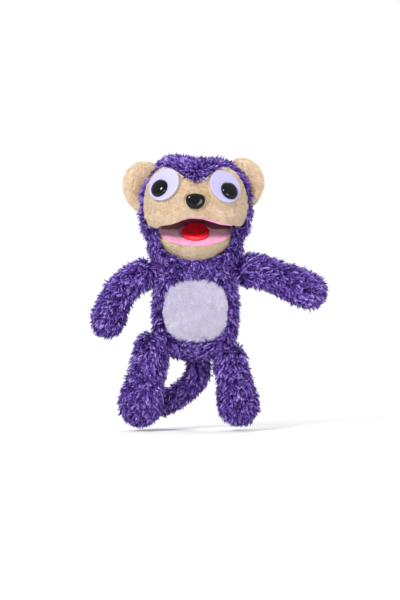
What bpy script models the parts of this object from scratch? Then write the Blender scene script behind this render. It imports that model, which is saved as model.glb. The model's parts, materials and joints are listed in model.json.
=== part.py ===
"""Moving mouth puppet: a plush monkey whose jaw closes when its belly is pressed.

The origin is the centre of the flat rear face of the fixed grip plate in the puppet's back.
+Z is up, the face looks along -Y, and +X is the viewer's right. All sizes are in metres.

The belly paddle turns on a pin at the chest. Its crank lifts a guided push rod, and the rod lifts the
jaw board just in front of the jaw pin. A coil spring round the rod opens the mouth again.
"""
from math import cos, pi, radians, sin, sqrt

import bmesh
import bpy
from mathutils import Matrix, Vector

# ---------------------------------------------------------------- driving dimensions
GAP = 0.0004              # between pieces that touch
PROUD = 0.0002            # how far one shape of a moulding stands past the next
FUR = 0.0040              # thickness of the long-pile fabric without its loose pile
PLUSH = 0.0035            # thickness of the short-pile fabric
BODY_Y = -0.030           # middle plane of the torso, in front of the rear grip face

# head: half sizes of the soft outer form about its centre
HEAD_CENTRE = Vector((0, -0.034, 0.112))
HEAD_HALF_X = 0.058
HEAD_FRONT = 0.052
HEAD_BACK = 0.044
HEAD_HALF_Z = 0.0625
HEAD_SQUARENESS = 3.4     # how boxy the head is from the front
FRONT_POWER = 1.95        # how round it is towards the face
BACK_POWER = 3.0          # how round it is towards the back
NECK_TOP_Z = 0.106        # the head narrows below this height
NECK_BASE_Z = 0.084
NECK_NARROWING = 0.18
HOOD_BASE_Z = 0.0625
SKULL_WALL = 0.0020
SKULL_GAP = 0.0013        # between the fur and the skull

# mouth and jaw
JAW_Y = -0.014
JAW_Z = 0.106
JAW_OPEN = radians(22)    # slope of the jaw board at rest
JAW_PIVOT = Vector((0, JAW_Y, JAW_Z))
JAW_HALF_X = 0.0400
JAW_NOSE_Y = -0.0315      # where the straight sides of the jaw board end
JAW_NOSE_LENGTH = 0.0305
JAW_BACK_Y = -0.0065
BOARD = 0.0025
BOARD_TOP = -0.0005       # the jaw board's top, from the jaw pin
LINING = 0.0012
CHIN_DEPTH = 0.0275
PEG_R = 0.0020            # the tongue's peg through the jaw board
PEG_Y = -0.030
JAW_ARM_X = (0.0200, 0.0258)
PALATE_Z = 0.1142
PALATE_BOARD = 0.0026
PALATE_LUG_X = (0.0262, 0.0300)
SKULL_BASE_Z = 0.1172
PIN_R = 0.0019
KNUCKLE_R = 0.0042
HUB_R = 0.0036            # round the paddle pin
JAW_PIN_HALF = 0.0310
PADDLE_PIN_HALF = 0.0185

# torso
TORSO_CENTRE = Vector((0, BODY_Y, 0.009))
TORSO_HALF_X = 0.0435
TORSO_HALF_Y = 0.0290
TORSO_HALF_Z = 0.0510
TORSO_SQUARENESS = 3.2
TORSO_DEPTH_POWER = 2.5
BELLY_CENTRE_Z = 0.0085
BELLY_HALF_X = 0.0350
BELLY_HALF_Z = 0.0345
GRIP_HALF_X = 0.0220
GRIP_HALF_Z = 0.0280
GRIP_THICKNESS = 0.0030

# mechanism
SPINE_FRONT_Y = -0.0073
SPINE_BACK_Y = -GRIP_THICKNESS - GAP
SPINE_HALF_X = 0.0150
SPINE_BASE_Z = -0.0300
SPINE_OVERLAP = 0.0010    # how far a cheek or the guide runs into the spine
CHEEK_X = (0.0100, 0.0140)
GUIDE_HALF_X = 0.0060
GUIDE_FRONT = 0.0055      # from the rod's axis to the guide's front face
FLANGE_BACK_Y = 0.0045
FLANGE_THICKNESS = 0.0030
PADDLE_Y = -0.046
PADDLE_Z = 0.040
PADDLE_FRONT_Y = -0.0508
PADDLE_BACK_Y = -0.0486
PADDLE_ROOT_Y = -0.0494   # where lugs and crank start, inside the paddle
PADDLE_LUG_X = (0.0145, 0.0174)
CRANK_HALF_X = 0.0035
CRANK_NOSE_R = 0.0022
CRANK = 0.020             # from the paddle pin back to the push rod
ROD_Y = PADDLE_Y + CRANK
ROD_R = 0.0022
ROD_FOOT_R = 0.0055
ROD_FOOT_HEIGHT = 0.0020
ROD_FOOT_Z = 0.0440
ROD_TIP_Z = 0.0970
GUIDE_Z = 0.0700
GUIDE_HEIGHT = 0.0050
GUIDE_PLAY = 0.0006       # round the rod in its guide
SPRING_TURNS = 5
SPRING_POINTS = 9         # in each turn
SPRING_R = 0.0044
WIRE_R = 0.0005

# screws
SCREW_R = 0.0014
SCREW_HEAD_R = 0.0025
SCREW_LENGTH = 0.0060
GRIP_SCREW_Z = 0.020
GRIP_SEAT_Y = -0.0015     # the floor of the counterbores in the grip plate
PALATE_SCREW_X = 0.009
PALATE_SCREW_Y = -0.0005

# eyes and nose: each eye's side, its place on the face and how far its pupil leans outward from straight down
EYES = {"left": (-1, 0.0340, 0.1465, radians(35)), "right": (1, 0.0322, 0.1440, radians(27))}
EYE_R = 0.0193
EYE_THICKNESS = 0.0026
EYE_SUNK = 0.0012
EYE_NORMAL = Vector((0.50, -0.765, 0.405)).normalized()
PUPIL_R = 0.0104
PUPIL_HEIGHT = 0.0050
PUPIL_SHIFT = 0.0064      # from the disc's centre
NOSE_Z = 0.1290
NOSE_HALF = Vector((0.0122, 0.0080, 0.0090))
STEM_R = 0.0025
STEM_REACH = 0.0200       # how deep the stem holes are cut
WASHER_R = 0.0060
WASHER_THICKNESS = 0.0014

# limbs: the first point of each path is the pivot
ARM_LEFT = [(-0.0540, 0.0500), (-0.0740, 0.0400), (-0.0900, 0.0190), (-0.0975, -0.0030)]
ARM_RIGHT = [(0.0545, 0.0500), (0.0800, 0.0475), (0.1050, 0.0395), (0.1260, 0.0300)]
LEG_LEFT = [(-0.0490, -0.0330), (-0.0550, -0.0550), (-0.0595, -0.0770), (-0.0610, -0.0960)]
LEG_RIGHT = [(0.0395, -0.0440), (0.0430, -0.0620), (0.0460, -0.0800), (0.0475, -0.0955)]
TAIL = [
    (0.0030, -0.0120, -0.0470),
    (0.0035, -0.0020, -0.0620),
    (-0.0050, 0.0040, -0.0760),
    (-0.0220, 0.0070, -0.0890),
    (-0.0390, 0.0080, -0.0980),
]
ARM_RADII = (0.0140, 0.0145, 0.0160)
LEG_RADII = (0.0155, 0.0160, 0.0205)
TAIL_RADII = (0.0110, 0.0105, 0.0110)
LEG_Y = BODY_Y - 0.006
SLEEVE = 0.0030           # thickness of a limb's fabric
CORE_INSET = 0.0044       # the stuffing's face inside the sleeve's outer face

# ---------------------------------------------------------------- scene and materials
for old in list(bpy.data.objects):
    bpy.data.objects.remove(old, do_unlink=True)

PUPPET = bpy.data.collections.new("moving_mouth_puppet")
CUTTERS = bpy.data.collections.new("cutters")
bpy.context.scene.collection.children.link(PUPPET)
bpy.context.scene.collection.children.link(CUTTERS)

# colour, roughness, metallic
FINISHES = {
    "purple_fur": ((0.110, 0.050, 0.330), 0.90, 0.0),
    "beige_plush": ((0.690, 0.545, 0.355), 0.90, 0.0),
    "white_plush": ((0.700, 0.670, 0.780), 0.92, 0.0),
    "pink_felt": ((0.830, 0.390, 0.530), 0.95, 0.0),
    "maroon_felt": ((0.260, 0.010, 0.050), 0.95, 0.0),
    "red_plastic": ((0.700, 0.010, 0.015), 0.20, 0.0),
    "white_plastic": ((0.780, 0.760, 0.860), 0.30, 0.0),
    "black_plastic": ((0.006, 0.006, 0.009), 0.10, 0.0),
    "grey_plastic": ((0.300, 0.310, 0.330), 0.50, 0.0),
    "foam": ((0.800, 0.780, 0.650), 0.95, 0.0),
    "stuffing": ((0.850, 0.850, 0.840), 0.95, 0.0),
    "steel": ((0.550, 0.560, 0.580), 0.35, 1.0),
}


def finish(obj, name):
    """Give an object its own copy of a finish, named after the object."""
    colour, roughness, metallic = FINISHES[name]
    mat = bpy.data.materials.new(f"{obj.name}_{name}")
    mat.use_nodes = True
    shader = mat.node_tree.nodes["Principled BSDF"]
    shader.inputs["Base Color"].default_value = (*colour, 1)
    shader.inputs["Roughness"].default_value = roughness
    shader.inputs["Metallic"].default_value = metallic
    obj.data.materials.clear()
    obj.data.materials.append(mat)


def pivot(name, place, turn=0.0):
    """An empty on a joint's axis. A moving body's pieces are its children."""
    empty = bpy.data.objects.new(name, None)
    empty.location = place
    empty.rotation_euler = (turn, 0, 0)
    PUPPET.objects.link(empty)
    bpy.context.view_layer.update()
    return empty


def put(name, mesh, finish_name=None, cutter=False):
    """Make an object from a mesh, in the puppet or among the cutters."""
    obj = bpy.data.objects.new(name, mesh)
    (CUTTERS if cutter else PUPPET).objects.link(obj)
    if cutter:
        obj.hide_render = True
        obj.display_type = "WIRE"
    else:
        finish(obj, finish_name)
    return obj


def hang(obj, parent):
    """Parent an object and keep it where it is in the world."""
    bpy.context.view_layer.update()
    obj.parent = parent
    obj.matrix_parent_inverse = parent.matrix_world.inverted()


# ---------------------------------------------------------------- shape helpers
def smooth(mesh, angle=40):
    mesh.shade_smooth()
    mesh.set_sharp_from_angle(angle=radians(angle))


def box_mesh(low, high):
    """A box between two corners, from Blender's cube."""
    bm = bmesh.new()
    bmesh.ops.create_cube(bm, size=1)
    low, high = Vector(low), Vector(high)
    bmesh.ops.scale(bm, vec=high - low, verts=bm.verts)
    bmesh.ops.translate(bm, vec=(low + high) / 2, verts=bm.verts)
    mesh = bpy.data.meshes.new("box")
    bm.to_mesh(mesh)
    bm.free()
    return mesh


def rod_mesh(start, end, radius, sides=16):
    """A cylinder between two points."""
    start, end = Vector(start), Vector(end)
    bm = bmesh.new()
    bmesh.ops.create_cone(bm, cap_ends=True, segments=sides, radius1=radius, radius2=radius,
                          depth=(end - start).length)
    turn = (end - start).to_track_quat("Z", "Y").to_matrix().to_4x4()
    bmesh.ops.transform(bm, matrix=Matrix.Translation((start + end) / 2) @ turn, verts=bm.verts)
    mesh = bpy.data.meshes.new("rod")
    bm.to_mesh(mesh)
    bm.free()
    return mesh


def ball_mesh(centre, half, sides=24, rings=14):
    """A sphere or ellipsoid."""
    bm = bmesh.new()
    bmesh.ops.create_uvsphere(bm, u_segments=sides, v_segments=rings, radius=1)
    bmesh.ops.scale(bm, vec=Vector(half), verts=bm.verts)
    bmesh.ops.translate(bm, vec=Vector(centre), verts=bm.verts)
    mesh = bpy.data.meshes.new("ball")
    bm.to_mesh(mesh)
    bm.free()
    return mesh


def outline_mesh(points, low, high, facing="Y"):
    """A flat outline, extruded from low to high along Y (points are x, z) or along Z (points are x, y)."""
    curve = bpy.data.curves.new("outline", "CURVE")
    curve.dimensions = "2D"
    curve.fill_mode = "BOTH"
    curve.extrude = (high - low) / 2
    spline = curve.splines.new("POLY")
    spline.points.add(len(points) - 1)
    spline.use_cyclic_u = True
    for point, (a, b) in zip(spline.points, points):
        point.co = (a, b, 0, 1)
    flat = bpy.data.objects.new("outline", curve)
    CUTTERS.objects.link(flat)
    if facing == "Y":
        flat.rotation_euler = (pi / 2, 0, 0)
        flat.location = (0, (low + high) / 2, 0)
    else:
        flat.location = (0, 0, (low + high) / 2)
    bpy.context.view_layer.update()
    mesh = bpy.data.meshes.new_from_object(flat.evaluated_get(bpy.context.evaluated_depsgraph_get()))
    bm = bmesh.new()
    bm.from_mesh(mesh)
    bmesh.ops.remove_doubles(bm, verts=bm.verts, dist=1e-6)
    bmesh.ops.transform(bm, matrix=flat.matrix_world, verts=bm.verts)
    bmesh.ops.recalc_face_normals(bm, faces=bm.faces)
    bm.to_mesh(mesh)
    bm.free()
    bpy.data.objects.remove(flat, do_unlink=True)
    return mesh


def superellipse(centre, half, power, count=32):
    """Points round a superellipse, anticlockwise."""
    points = []
    for i in range(count):
        c, s = cos(2 * pi * i / count), sin(2 * pi * i / count)
        x = half[0] * abs(c) ** (2 / power) * (1 if c >= 0 else -1)
        y = half[1] * abs(s) ** (2 / power) * (1 if s >= 0 else -1)
        points.append((centre[0] + x, centre[1] + y))
    return points


def mirrored(points):
    """An outline from its right half, which starts and ends on the middle line."""
    left = [(-x, y) for x, y in reversed(points) if x > 1e-6]
    return points + left


def boolean(obj, mesh_or_obj, operation="DIFFERENCE", name="cut"):
    """Add a Boolean modifier whose cutter is a mesh in world space or an existing object."""
    if isinstance(mesh_or_obj, bpy.types.Mesh):
        tool = put(f"{obj.name}_{name}", mesh_or_obj, cutter=True)
    else:
        tool = mesh_or_obj
    mod = obj.modifiers.new(name, "BOOLEAN")
    mod.operation = operation
    mod.solver = "EXACT"
    mod.object = tool
    return tool


def solidify(obj, thickness):
    """Thicken a surface inward from its outer face."""
    mod = obj.modifiers.new("wall", "SOLIDIFY")
    mod.thickness = thickness
    mod.offset = -1
    mod.use_even_offset = True


def bevel(obj, width, segments=2, angle=35):
    mod = obj.modifiers.new("edges", "BEVEL")
    mod.width = width
    mod.segments = segments
    mod.limit_method = "ANGLE"
    mod.angle_limit = radians(angle)


def turned(name, profile, finish_name, sides=20):
    """A solid of revolution about Z. The profile runs down its outer side from top to bottom."""
    mesh = bpy.data.meshes.new(name)
    mesh.from_pydata([(r, 0, z) for r, z in profile], [(i, i + 1) for i in range(len(profile) - 1)], [])
    obj = put(name, mesh, finish_name)
    screw = obj.modifiers.new("turn", "SCREW")
    screw.steps = sides
    screw.render_steps = sides
    screw.use_merge_vertices = True
    screw.merge_threshold = 1e-5
    return obj


def aim(obj, place, normal):
    """Move an object's origin to a place and turn its +Z along a direction."""
    obj.location = place
    obj.rotation_mode = "QUATERNION"
    obj.rotation_quaternion = Vector(normal).to_track_quat("Z", "Y")


def through(points, t):
    """A smooth curve through control points, at t from 0 to 1 (Catmull-Rom)."""
    spans = len(points) - 1
    i = min(int(t * spans), spans - 1)
    u = t * spans - i
    p1, p2 = Vector(points[i]), Vector(points[i + 1])
    p0 = Vector(points[i - 1]) if i > 0 else 2 * p1 - p2
    p3 = Vector(points[i + 2]) if i + 2 <= spans else 2 * p2 - p1
    return 0.5 * (2 * p1 + (p2 - p0) * u + (2 * p0 - 5 * p1 + 4 * p2 - p3) * u * u
                  + (3 * p1 - p0 - 3 * p2 + p3) * u ** 3)


# ---------------------------------------------------------------- soft forms
def quadric_scale(direction, halves, square, depth):
    """How far a ray goes to the superquadric (|x/a|^p + |z/c|^p)^(q/p) + |y/b|^q = 1."""
    flat = (abs(direction.x / halves[0]) ** square + abs(direction.z / halves[2]) ** square) ** (1 / square)
    return (flat ** depth + abs(direction.y / halves[1]) ** depth) ** (-1 / depth)


def head_halves(direction, inset):
    return (HEAD_HALF_X - inset, (HEAD_FRONT if direction.y < 0 else HEAD_BACK) - inset, HEAD_HALF_Z - inset)


def neck_scale(z):
    """The head's width factor at a height: 1 above the mouth, less at the neck."""
    t = min(max((NECK_TOP_Z - z) / (NECK_TOP_Z - NECK_BASE_Z), 0), 1)
    return 1 - NECK_NARROWING * t * t * (3 - 2 * t)


def head_mesh(inset=0.0, sides=26, rings=16):
    """The head's soft form, as a closed surface this far inside its outer face."""
    bm = bmesh.new()
    bmesh.ops.create_uvsphere(bm, u_segments=sides, v_segments=rings, radius=1)
    for vert in bm.verts:
        depth = FRONT_POWER if vert.co.y < 0 else BACK_POWER
        place = vert.co * quadric_scale(vert.co, head_halves(vert.co, inset), HEAD_SQUARENESS, depth)
        place += HEAD_CENTRE
        place.x *= neck_scale(place.z)
        vert.co = place
    mesh = bpy.data.meshes.new("head_form")
    bm.to_mesh(mesh)
    bm.free()
    return mesh


def torso_mesh(inset=0.0, sides=26, rings=16):
    """The torso's soft form, as a closed surface."""
    halves = (TORSO_HALF_X - inset, TORSO_HALF_Y - inset, TORSO_HALF_Z - inset)
    bm = bmesh.new()
    bmesh.ops.create_uvsphere(bm, u_segments=sides, v_segments=rings, radius=1)
    for vert in bm.verts:
        vert.co = vert.co * quadric_scale(vert.co, halves, TORSO_SQUARENESS, TORSO_DEPTH_POWER) + TORSO_CENTRE
    mesh = bpy.data.meshes.new("torso_form")
    bm.to_mesh(mesh)
    bm.free()
    return mesh


def head_front(x, z):
    """The point of the head's outer face in front of x, z."""
    flat = ((abs(x) / HEAD_HALF_X) ** HEAD_SQUARENESS
            + (abs(z - HEAD_CENTRE.z) / HEAD_HALF_Z) ** HEAD_SQUARENESS) ** (1 / HEAD_SQUARENESS)
    return Vector((x, HEAD_CENTRE.y - HEAD_FRONT * (1 - flat ** FRONT_POWER) ** (1 / FRONT_POWER), z))


def limb_mesh(path, radii, inset=0.0, open_root=False, sides=12, rings=11):
    """A stuffed limb: a sphere drawn out along a path, with radii at its root, middle and end."""
    length = sum((through(path, (i + 1) / 40) - through(path, i / 40)).length for i in range(40))
    first, last = radii[0] - inset, radii[2] - inset
    bm = bmesh.new()
    bmesh.ops.create_uvsphere(bm, u_segments=sides, v_segments=rings, radius=1)
    along = {}
    for vert in bm.verts:
        polar = max(-1.0, min(1.0, vert.co.z))
        reach = -first + (1 - polar) / 2 * (length + first + last)
        middle = min(max(reach / length, 0), 1)
        radius = (through([(r, 0) for r in radii], middle).x - inset)
        if reach < 0:
            radius *= sqrt(max(1 - (reach / first) ** 2, 0))
        if reach > length:
            radius *= sqrt(max(1 - ((reach - length) / last) ** 2, 0))
        step = 0.02
        tangent = (through(path, min(middle + step, 1)) - through(path, max(middle - step, 0))).normalized()
        side = tangent.cross(Vector((0, 1, 0))).normalized()
        front = side.cross(tangent)
        over = reach - middle * length
        ring = Vector((vert.co.x, vert.co.y))
        ring = ring.normalized() if ring.length > 1e-6 else ring
        along[vert] = reach
        vert.co = through(path, middle) + tangent * over + (side * ring.x + front * ring.y) * radius
    if open_root:
        bmesh.ops.delete(bm, geom=[v for v in bm.verts if along[v] < -0.75 * first], context="VERTS")
    bmesh.ops.recalc_face_normals(bm, faces=bm.faces)
    mesh = bpy.data.meshes.new("limb")
    bm.to_mesh(mesh)
    bm.free()
    return mesh


# ---------------------------------------------------------------- outlines seen from the front
def face_outline(grow):
    """The face window in the hood: brow arches, a peak between the eyes, open below the cheeks."""
    half = [(0, 0.1500), (0.0100, 0.1530), (0.0190, 0.1600), (0.0270, 0.1660), (0.0360, 0.1670),
            (0.0450, 0.1605), (0.0520, 0.1490), (0.0565, 0.1370), (0.0660, 0.1230), (0.0660, 0.0985)]
    middle_z = 0.125
    half = [(x * (1 + grow / HEAD_HALF_X), z + grow * (1 if z > middle_z else -1)) for x, z in half]
    half.append((0, half[-1][1]))
    return mirrored(half)


def lip_outline():
    """Everything below the upper lip, to cut from the face panel."""
    half = [(0, 0.1115), (0.0060, 0.1112), (0.0200, 0.1085), (0.0330, 0.1045), (0.0430, 0.0995),
            (0.0520, 0.0990), (0.0700, 0.1010), (0.0700, 0.0400), (0, 0.0400)]
    return mirrored(half)


def chin_opening():
    """The opening for the jaw in the front of the hood: a half ellipse under the mouth slot."""
    arc = [(0.0425 * cos(pi * i / 24), 0.0930 - 0.0330 * sin(pi * i / 24)) for i in range(25)]
    return arc + [(-0.0425, 0.1000), (-0.0700, 0.1000), (-0.0700, 0.1100), (0.0700, 0.1100),
                  (0.0700, 0.1000), (0.0425, 0.1000)]


def jaw_outline(grow=0.0):
    """The D shape of the jaw board about the jaw pin: straight sides and an elliptical nose (x, y)."""
    half_x = JAW_HALF_X + grow
    nose = [(half_x * cos(pi * i / 24), JAW_NOSE_Y - (JAW_NOSE_LENGTH + grow) * sin(pi * i / 24))
            for i in range(25)]
    return nose + [(-half_x, JAW_BACK_Y), (half_x, JAW_BACK_Y)]


# ---------------------------------------------------------------- the frame inside the body
def grip_screw_holes(obj, radius):
    for z in (-GRIP_SCREW_Z, GRIP_SCREW_Z):
        boolean(obj, rod_mesh((0, 0.01, z), (0, -0.02, z), radius), name="screw_hole")


def palate_screw_holes(obj, radius):
    for x in (-PALATE_SCREW_X, PALATE_SCREW_X):
        hole = rod_mesh((x, PALATE_SCREW_Y, PALATE_Z + 0.02), (x, PALATE_SCREW_Y, PALATE_Z - 0.02), radius)
        boolean(obj, hole, name="screw_hole")


def pin_bore(obj, y, z):
    """A bore for a pin along X, right through an object."""
    boolean(obj, rod_mesh((-0.05, y, z), (0.05, y, z), PIN_R + GAP), name="pin_bore")


def build_spine_frame():
    """The moulded spine: a back plate, two cheeks for the paddle pin, the rod guide and a top flange."""
    top = PALATE_Z - GAP
    root_y = SPINE_FRONT_Y + SPINE_OVERLAP
    column = box_mesh((-SPINE_HALF_X, SPINE_FRONT_Y, SPINE_BASE_Z), (SPINE_HALF_X, SPINE_BACK_Y, top))
    spine = put("spine_frame", column, "grey_plastic")
    for side in (-1, 1):
        inner, outer = sorted(side * x for x in CHEEK_X)
        cheek = box_mesh((inner, PADDLE_Y + 0.0003, PADDLE_Z - 0.0060), (outer, root_y, PADDLE_Z + 0.0034))
        tip = rod_mesh((inner - PROUD, PADDLE_Y, PADDLE_Z), (outer + PROUD, PADDLE_Y, PADDLE_Z), HUB_R)
        boolean(spine, cheek, "UNION", f"cheek{side}")
        boolean(spine, tip, "UNION", f"cheek_tip{side}")
    guide = box_mesh((-GUIDE_HALF_X, ROD_Y - GUIDE_FRONT, GUIDE_Z),
                     (GUIDE_HALF_X, root_y, GUIDE_Z + GUIDE_HEIGHT))
    boolean(spine, guide, "UNION", "guide")
    flange = box_mesh((-SPINE_HALF_X - PROUD, SPINE_FRONT_Y - PROUD, top - FLANGE_THICKNESS),
                      (SPINE_HALF_X + PROUD, FLANGE_BACK_Y, top + PROUD / 2))
    boolean(spine, flange, "UNION", "flange")
    rod_bore = rod_mesh((0, ROD_Y, GUIDE_Z - 0.01), (0, ROD_Y, GUIDE_Z + 0.02), ROD_R + GUIDE_PLAY)
    boolean(spine, rod_bore, name="guide_bore")
    pin_bore(spine, PADDLE_Y, PADDLE_Z)
    grip_screw_holes(spine, SCREW_R + GAP)
    palate_screw_holes(spine, SCREW_R + GAP)


def build_back_grip():
    """The fixed plate in the back that the fingers hold: flat rear face, rounded rim."""
    plan = superellipse((0, 0), (GRIP_HALF_X, GRIP_HALF_Z), 5, 28)
    grip = put("back_grip", outline_mesh(plan, -GRIP_THICKNESS, 0), "grey_plastic")
    bevel(grip, 0.0008, 1)
    grip_screw_holes(grip, SCREW_R + GAP)
    for z in (-GRIP_SCREW_Z, GRIP_SCREW_Z):
        counterbore = rod_mesh((0, 0.01, z), (0, GRIP_SEAT_Y, z), SCREW_HEAD_R + GAP, 20)
        boolean(grip, counterbore, name="counterbore")


def build_screw(name, place, normal):
    """A small pan-head screw with its head's underside at its origin and its shank along -Z."""
    head = [(0, 0.0011), (0.0018, 0.0010), (SCREW_HEAD_R, 0.0004), (SCREW_HEAD_R, 0)]
    shank = [(SCREW_R, 0), (SCREW_R, -SCREW_LENGTH), (0, -SCREW_LENGTH - 0.0008)]
    screw = turned(name, head + shank, "steel", 12)
    aim(screw, place, normal)
    boolean(screw, slot_mesh(Vector(place), Vector(normal)), name="slot")


def slot_mesh(place, normal):
    """The driver slot across a screw's head."""
    mesh = box_mesh((-0.0040, -0.0003, 0.0006), (0.0040, 0.0003, 0.0030))
    mesh.transform(Matrix.Translation(place) @ normal.to_track_quat("Z", "Y").to_matrix().to_4x4())
    return mesh


def build_pins():
    places = {"paddle_pin": (PADDLE_PIN_HALF, PADDLE_Y, PADDLE_Z), "jaw_pin": (JAW_PIN_HALF, JAW_Y, JAW_Z)}
    for name, (half, y, z) in places.items():
        put(name, rod_mesh((-half, y, z), (half, y, z), PIN_R), "steel")


# ---------------------------------------------------------------- head
def build_palate():
    """The palate board under the skull, with two lugs for the jaw pin, and its felt lining."""
    plan = superellipse((0, HEAD_CENTRE.y), (0.0500, 0.0390), 2.6, 36)
    palate = put("palate_plate", outline_mesh(plan, PALATE_Z, PALATE_Z + PALATE_BOARD, "Z"), "grey_plastic")
    for side in (-1, 1):
        inner, outer = sorted(side * x for x in PALATE_LUG_X)
        lug = box_mesh((inner, JAW_Y - KNUCKLE_R, JAW_Z), (outer, JAW_Y + KNUCKLE_R, PALATE_Z + 0.001))
        tip = rod_mesh((inner - PROUD, JAW_Y, JAW_Z), (outer + PROUD, JAW_Y, JAW_Z), KNUCKLE_R + PROUD)
        boolean(palate, lug, "UNION", f"lug{side}")
        boolean(palate, tip, "UNION", f"lug_tip{side}")
    palate_screw_holes(palate, SCREW_R + GAP)
    pin_bore(palate, JAW_Y, JAW_Z)
    lining_plan = superellipse((0, -0.0455), (0.0410, 0.0265), 2.6, 32)
    lining_top = PALATE_Z - GAP
    put("palate_lining", outline_mesh(lining_plan, lining_top - LINING, lining_top, "Z"), "maroon_felt")


def stem_hole(obj, name, centre, normal):
    boolean(obj, rod_mesh(centre + normal * 0.01, centre - normal * STEM_REACH, STEM_R + GAP), name=name)


def eye_seat(side, x, z):
    """The middle of an eye's pocket in the face, and the direction it looks in."""
    normal = Vector((side * EYE_NORMAL.x, EYE_NORMAL.y, EYE_NORMAL.z))
    return head_front(side * x, z) - normal * EYE_SUNK, normal


def washer_profile():
    return [(WASHER_R, 0), (WASHER_R, -WASHER_THICKNESS), (STEM_R + GAP, -WASHER_THICKNESS),
            (STEM_R + GAP, 0), (WASHER_R, 0)]


def build_head_shells():
    """The hard skull, the face panel over its front and the fur hood round the rest."""
    skull = put("skull_shell", head_mesh(FUR + SKULL_GAP, 18, 11), "grey_plastic")
    solidify(skull, SKULL_WALL)
    boolean(skull, box_mesh((-0.1, -0.2, 0.0), (0.1, 0.1, SKULL_BASE_Z)), name="open_base")

    face = put("face_panel", head_mesh(), "beige_plush")
    solidify(face, PLUSH)
    boolean(face, outline_mesh(face_outline(-0.0005), -0.12, -0.0405), "INTERSECT", "window")
    boolean(face, outline_mesh(lip_outline(), -0.12, 0.0), name="lip")

    for side, x, z, _ in EYES.values():
        centre, normal = eye_seat(side, x, z)
        boolean(face, rod_mesh(centre, centre + normal * 0.02, EYE_R + GAP, 32), name=f"eye_pocket{side}")
        for obj in (face, skull):
            stem_hole(obj, f"eye_stem{side}", centre, normal)
    nose_normal = Vector((0, -1, 0))
    nose_place = head_front(0, NOSE_Z)
    boolean(face, rod_mesh(nose_place, nose_place + nose_normal * 0.02, 0.0130), name="nose_pocket")
    for obj in (face, skull):
        stem_hole(obj, "nose_stem", nose_place, nose_normal)

    hood = put("hood_fur", head_mesh(), "purple_fur")
    solidify(hood, FUR)
    boolean(hood, spine_channel(), name="spine_channel")
    boolean(hood, outline_mesh(face_outline(0.0), -0.12, -0.0400), name="window")
    boolean(hood, outline_mesh(chin_opening(), -0.12, -0.0295), name="chin")
    boolean(hood, box_mesh((-0.1, -0.2, 0.0), (0.1, 0.1, HOOD_BASE_Z)), name="open_base")


def build_eye(side_name, side, x, z, lean):
    """A flat disc with a stem, an off-centre domed pupil and a locking washer inside the skull."""
    seat, normal = eye_seat(side, x, z)
    centre = seat + normal * GAP
    stem_end = -0.0122
    rim = [(EYE_R - 0.0009, EYE_THICKNESS), (EYE_R - 0.0002, EYE_THICKNESS - 0.0004),
           (EYE_R, EYE_THICKNESS * 0.5), (EYE_R - 0.0006, 0)]
    stem = [(STEM_R, 0), (STEM_R, stem_end), (0, stem_end)]
    disc = turned(f"eye_disc_{side_name}", [(0, EYE_THICKNESS)] + rim + stem, "white_plastic", 28)
    aim(disc, centre, normal)
    across = Vector((0, 0, 1)).cross(normal).normalized()
    down = across.cross(normal).normalized()
    shift = (across * side * sin(lean) + down * cos(lean)) * PUPIL_SHIFT
    dome = [(PUPIL_R * sin(a), 0.0005 + PUPIL_HEIGHT * cos(a)) for a in [pi / 2 * i / 5 for i in range(6)]]
    pupil = turned(f"pupil_{side_name}", dome + [(PUPIL_R - 0.0006, 0), (0, 0)], "black_plastic", 22)
    aim(pupil, centre + normal * (EYE_THICKNESS + GAP) + shift, normal)
    washer = turned(f"eye_washer_{side_name}", washer_profile(), "grey_plastic", 14)
    aim(washer, centre - normal * 0.0096, normal)


def build_nose():
    """A rounded triangular nose with a stem and a washer."""
    bm = bmesh.new()
    bmesh.ops.create_cube(bm, size=2)
    for vert in bm.verts:
        wide = 1.0 if vert.co.z > 0 else 0.62
        half = Vector((NOSE_HALF.x * wide, NOSE_HALF.y, NOSE_HALF.z)) * 1.22
        vert.co = vert.co * half
    mesh = bpy.data.meshes.new("nose")
    bm.to_mesh(mesh)
    bm.free()
    nose = put("nose", mesh, "black_plastic")
    front = head_front(0, NOSE_Z)
    nose.location = front + Vector((0, -0.0012, 0))
    subdivide = nose.modifiers.new("round", "SUBSURF")
    subdivide.levels = 2
    subdivide.render_levels = 2
    boolean(nose, box_mesh((-0.05, front.y - GAP, 0.0), (0.05, 0.1, 0.3)), name="flat_back")
    stem = rod_mesh(front + Vector((0, -0.003, 0)), front + Vector((0, 0.0130, 0)), STEM_R)
    boolean(nose, stem, "UNION", "stem")
    washer = turned("nose_washer", washer_profile(), "grey_plastic", 14)
    aim(washer, front + Vector((0, 0.0103, 0)), (0, -1, 0))


def build_ear(side_name, side, centre_x, centre_z, half_x):
    """A spoon-shaped ear: a flat pad, hollow in front, cut to fit the side of the head."""
    bm = bmesh.new()
    bmesh.ops.create_uvsphere(bm, u_segments=16, v_segments=10, radius=1)
    half = Vector((half_x, 0.0062, 0.0288))
    for vert in bm.verts:
        x, y, z = vert.co
        dish = 0.0075 * (x * x + z * z)
        narrow = 1 - 0.16 * max(-z, 0)
        vert.co = Vector((centre_x + x * half.x * narrow, -0.0260 + y * half.y - dish, centre_z + z * half.z))
    mesh = bpy.data.meshes.new("ear")
    bm.to_mesh(mesh)
    bm.free()
    ear = put(f"ear_{side_name}", mesh, "beige_plush")
    boolean(ear, head_mesh(-GAP), name="head_side")
    spill = sorted((0, side * 0.040))
    boolean(ear, box_mesh((spill[0], -0.1, 0), (spill[1], 0.1, 0.3)), name="inner_spill")


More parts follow.
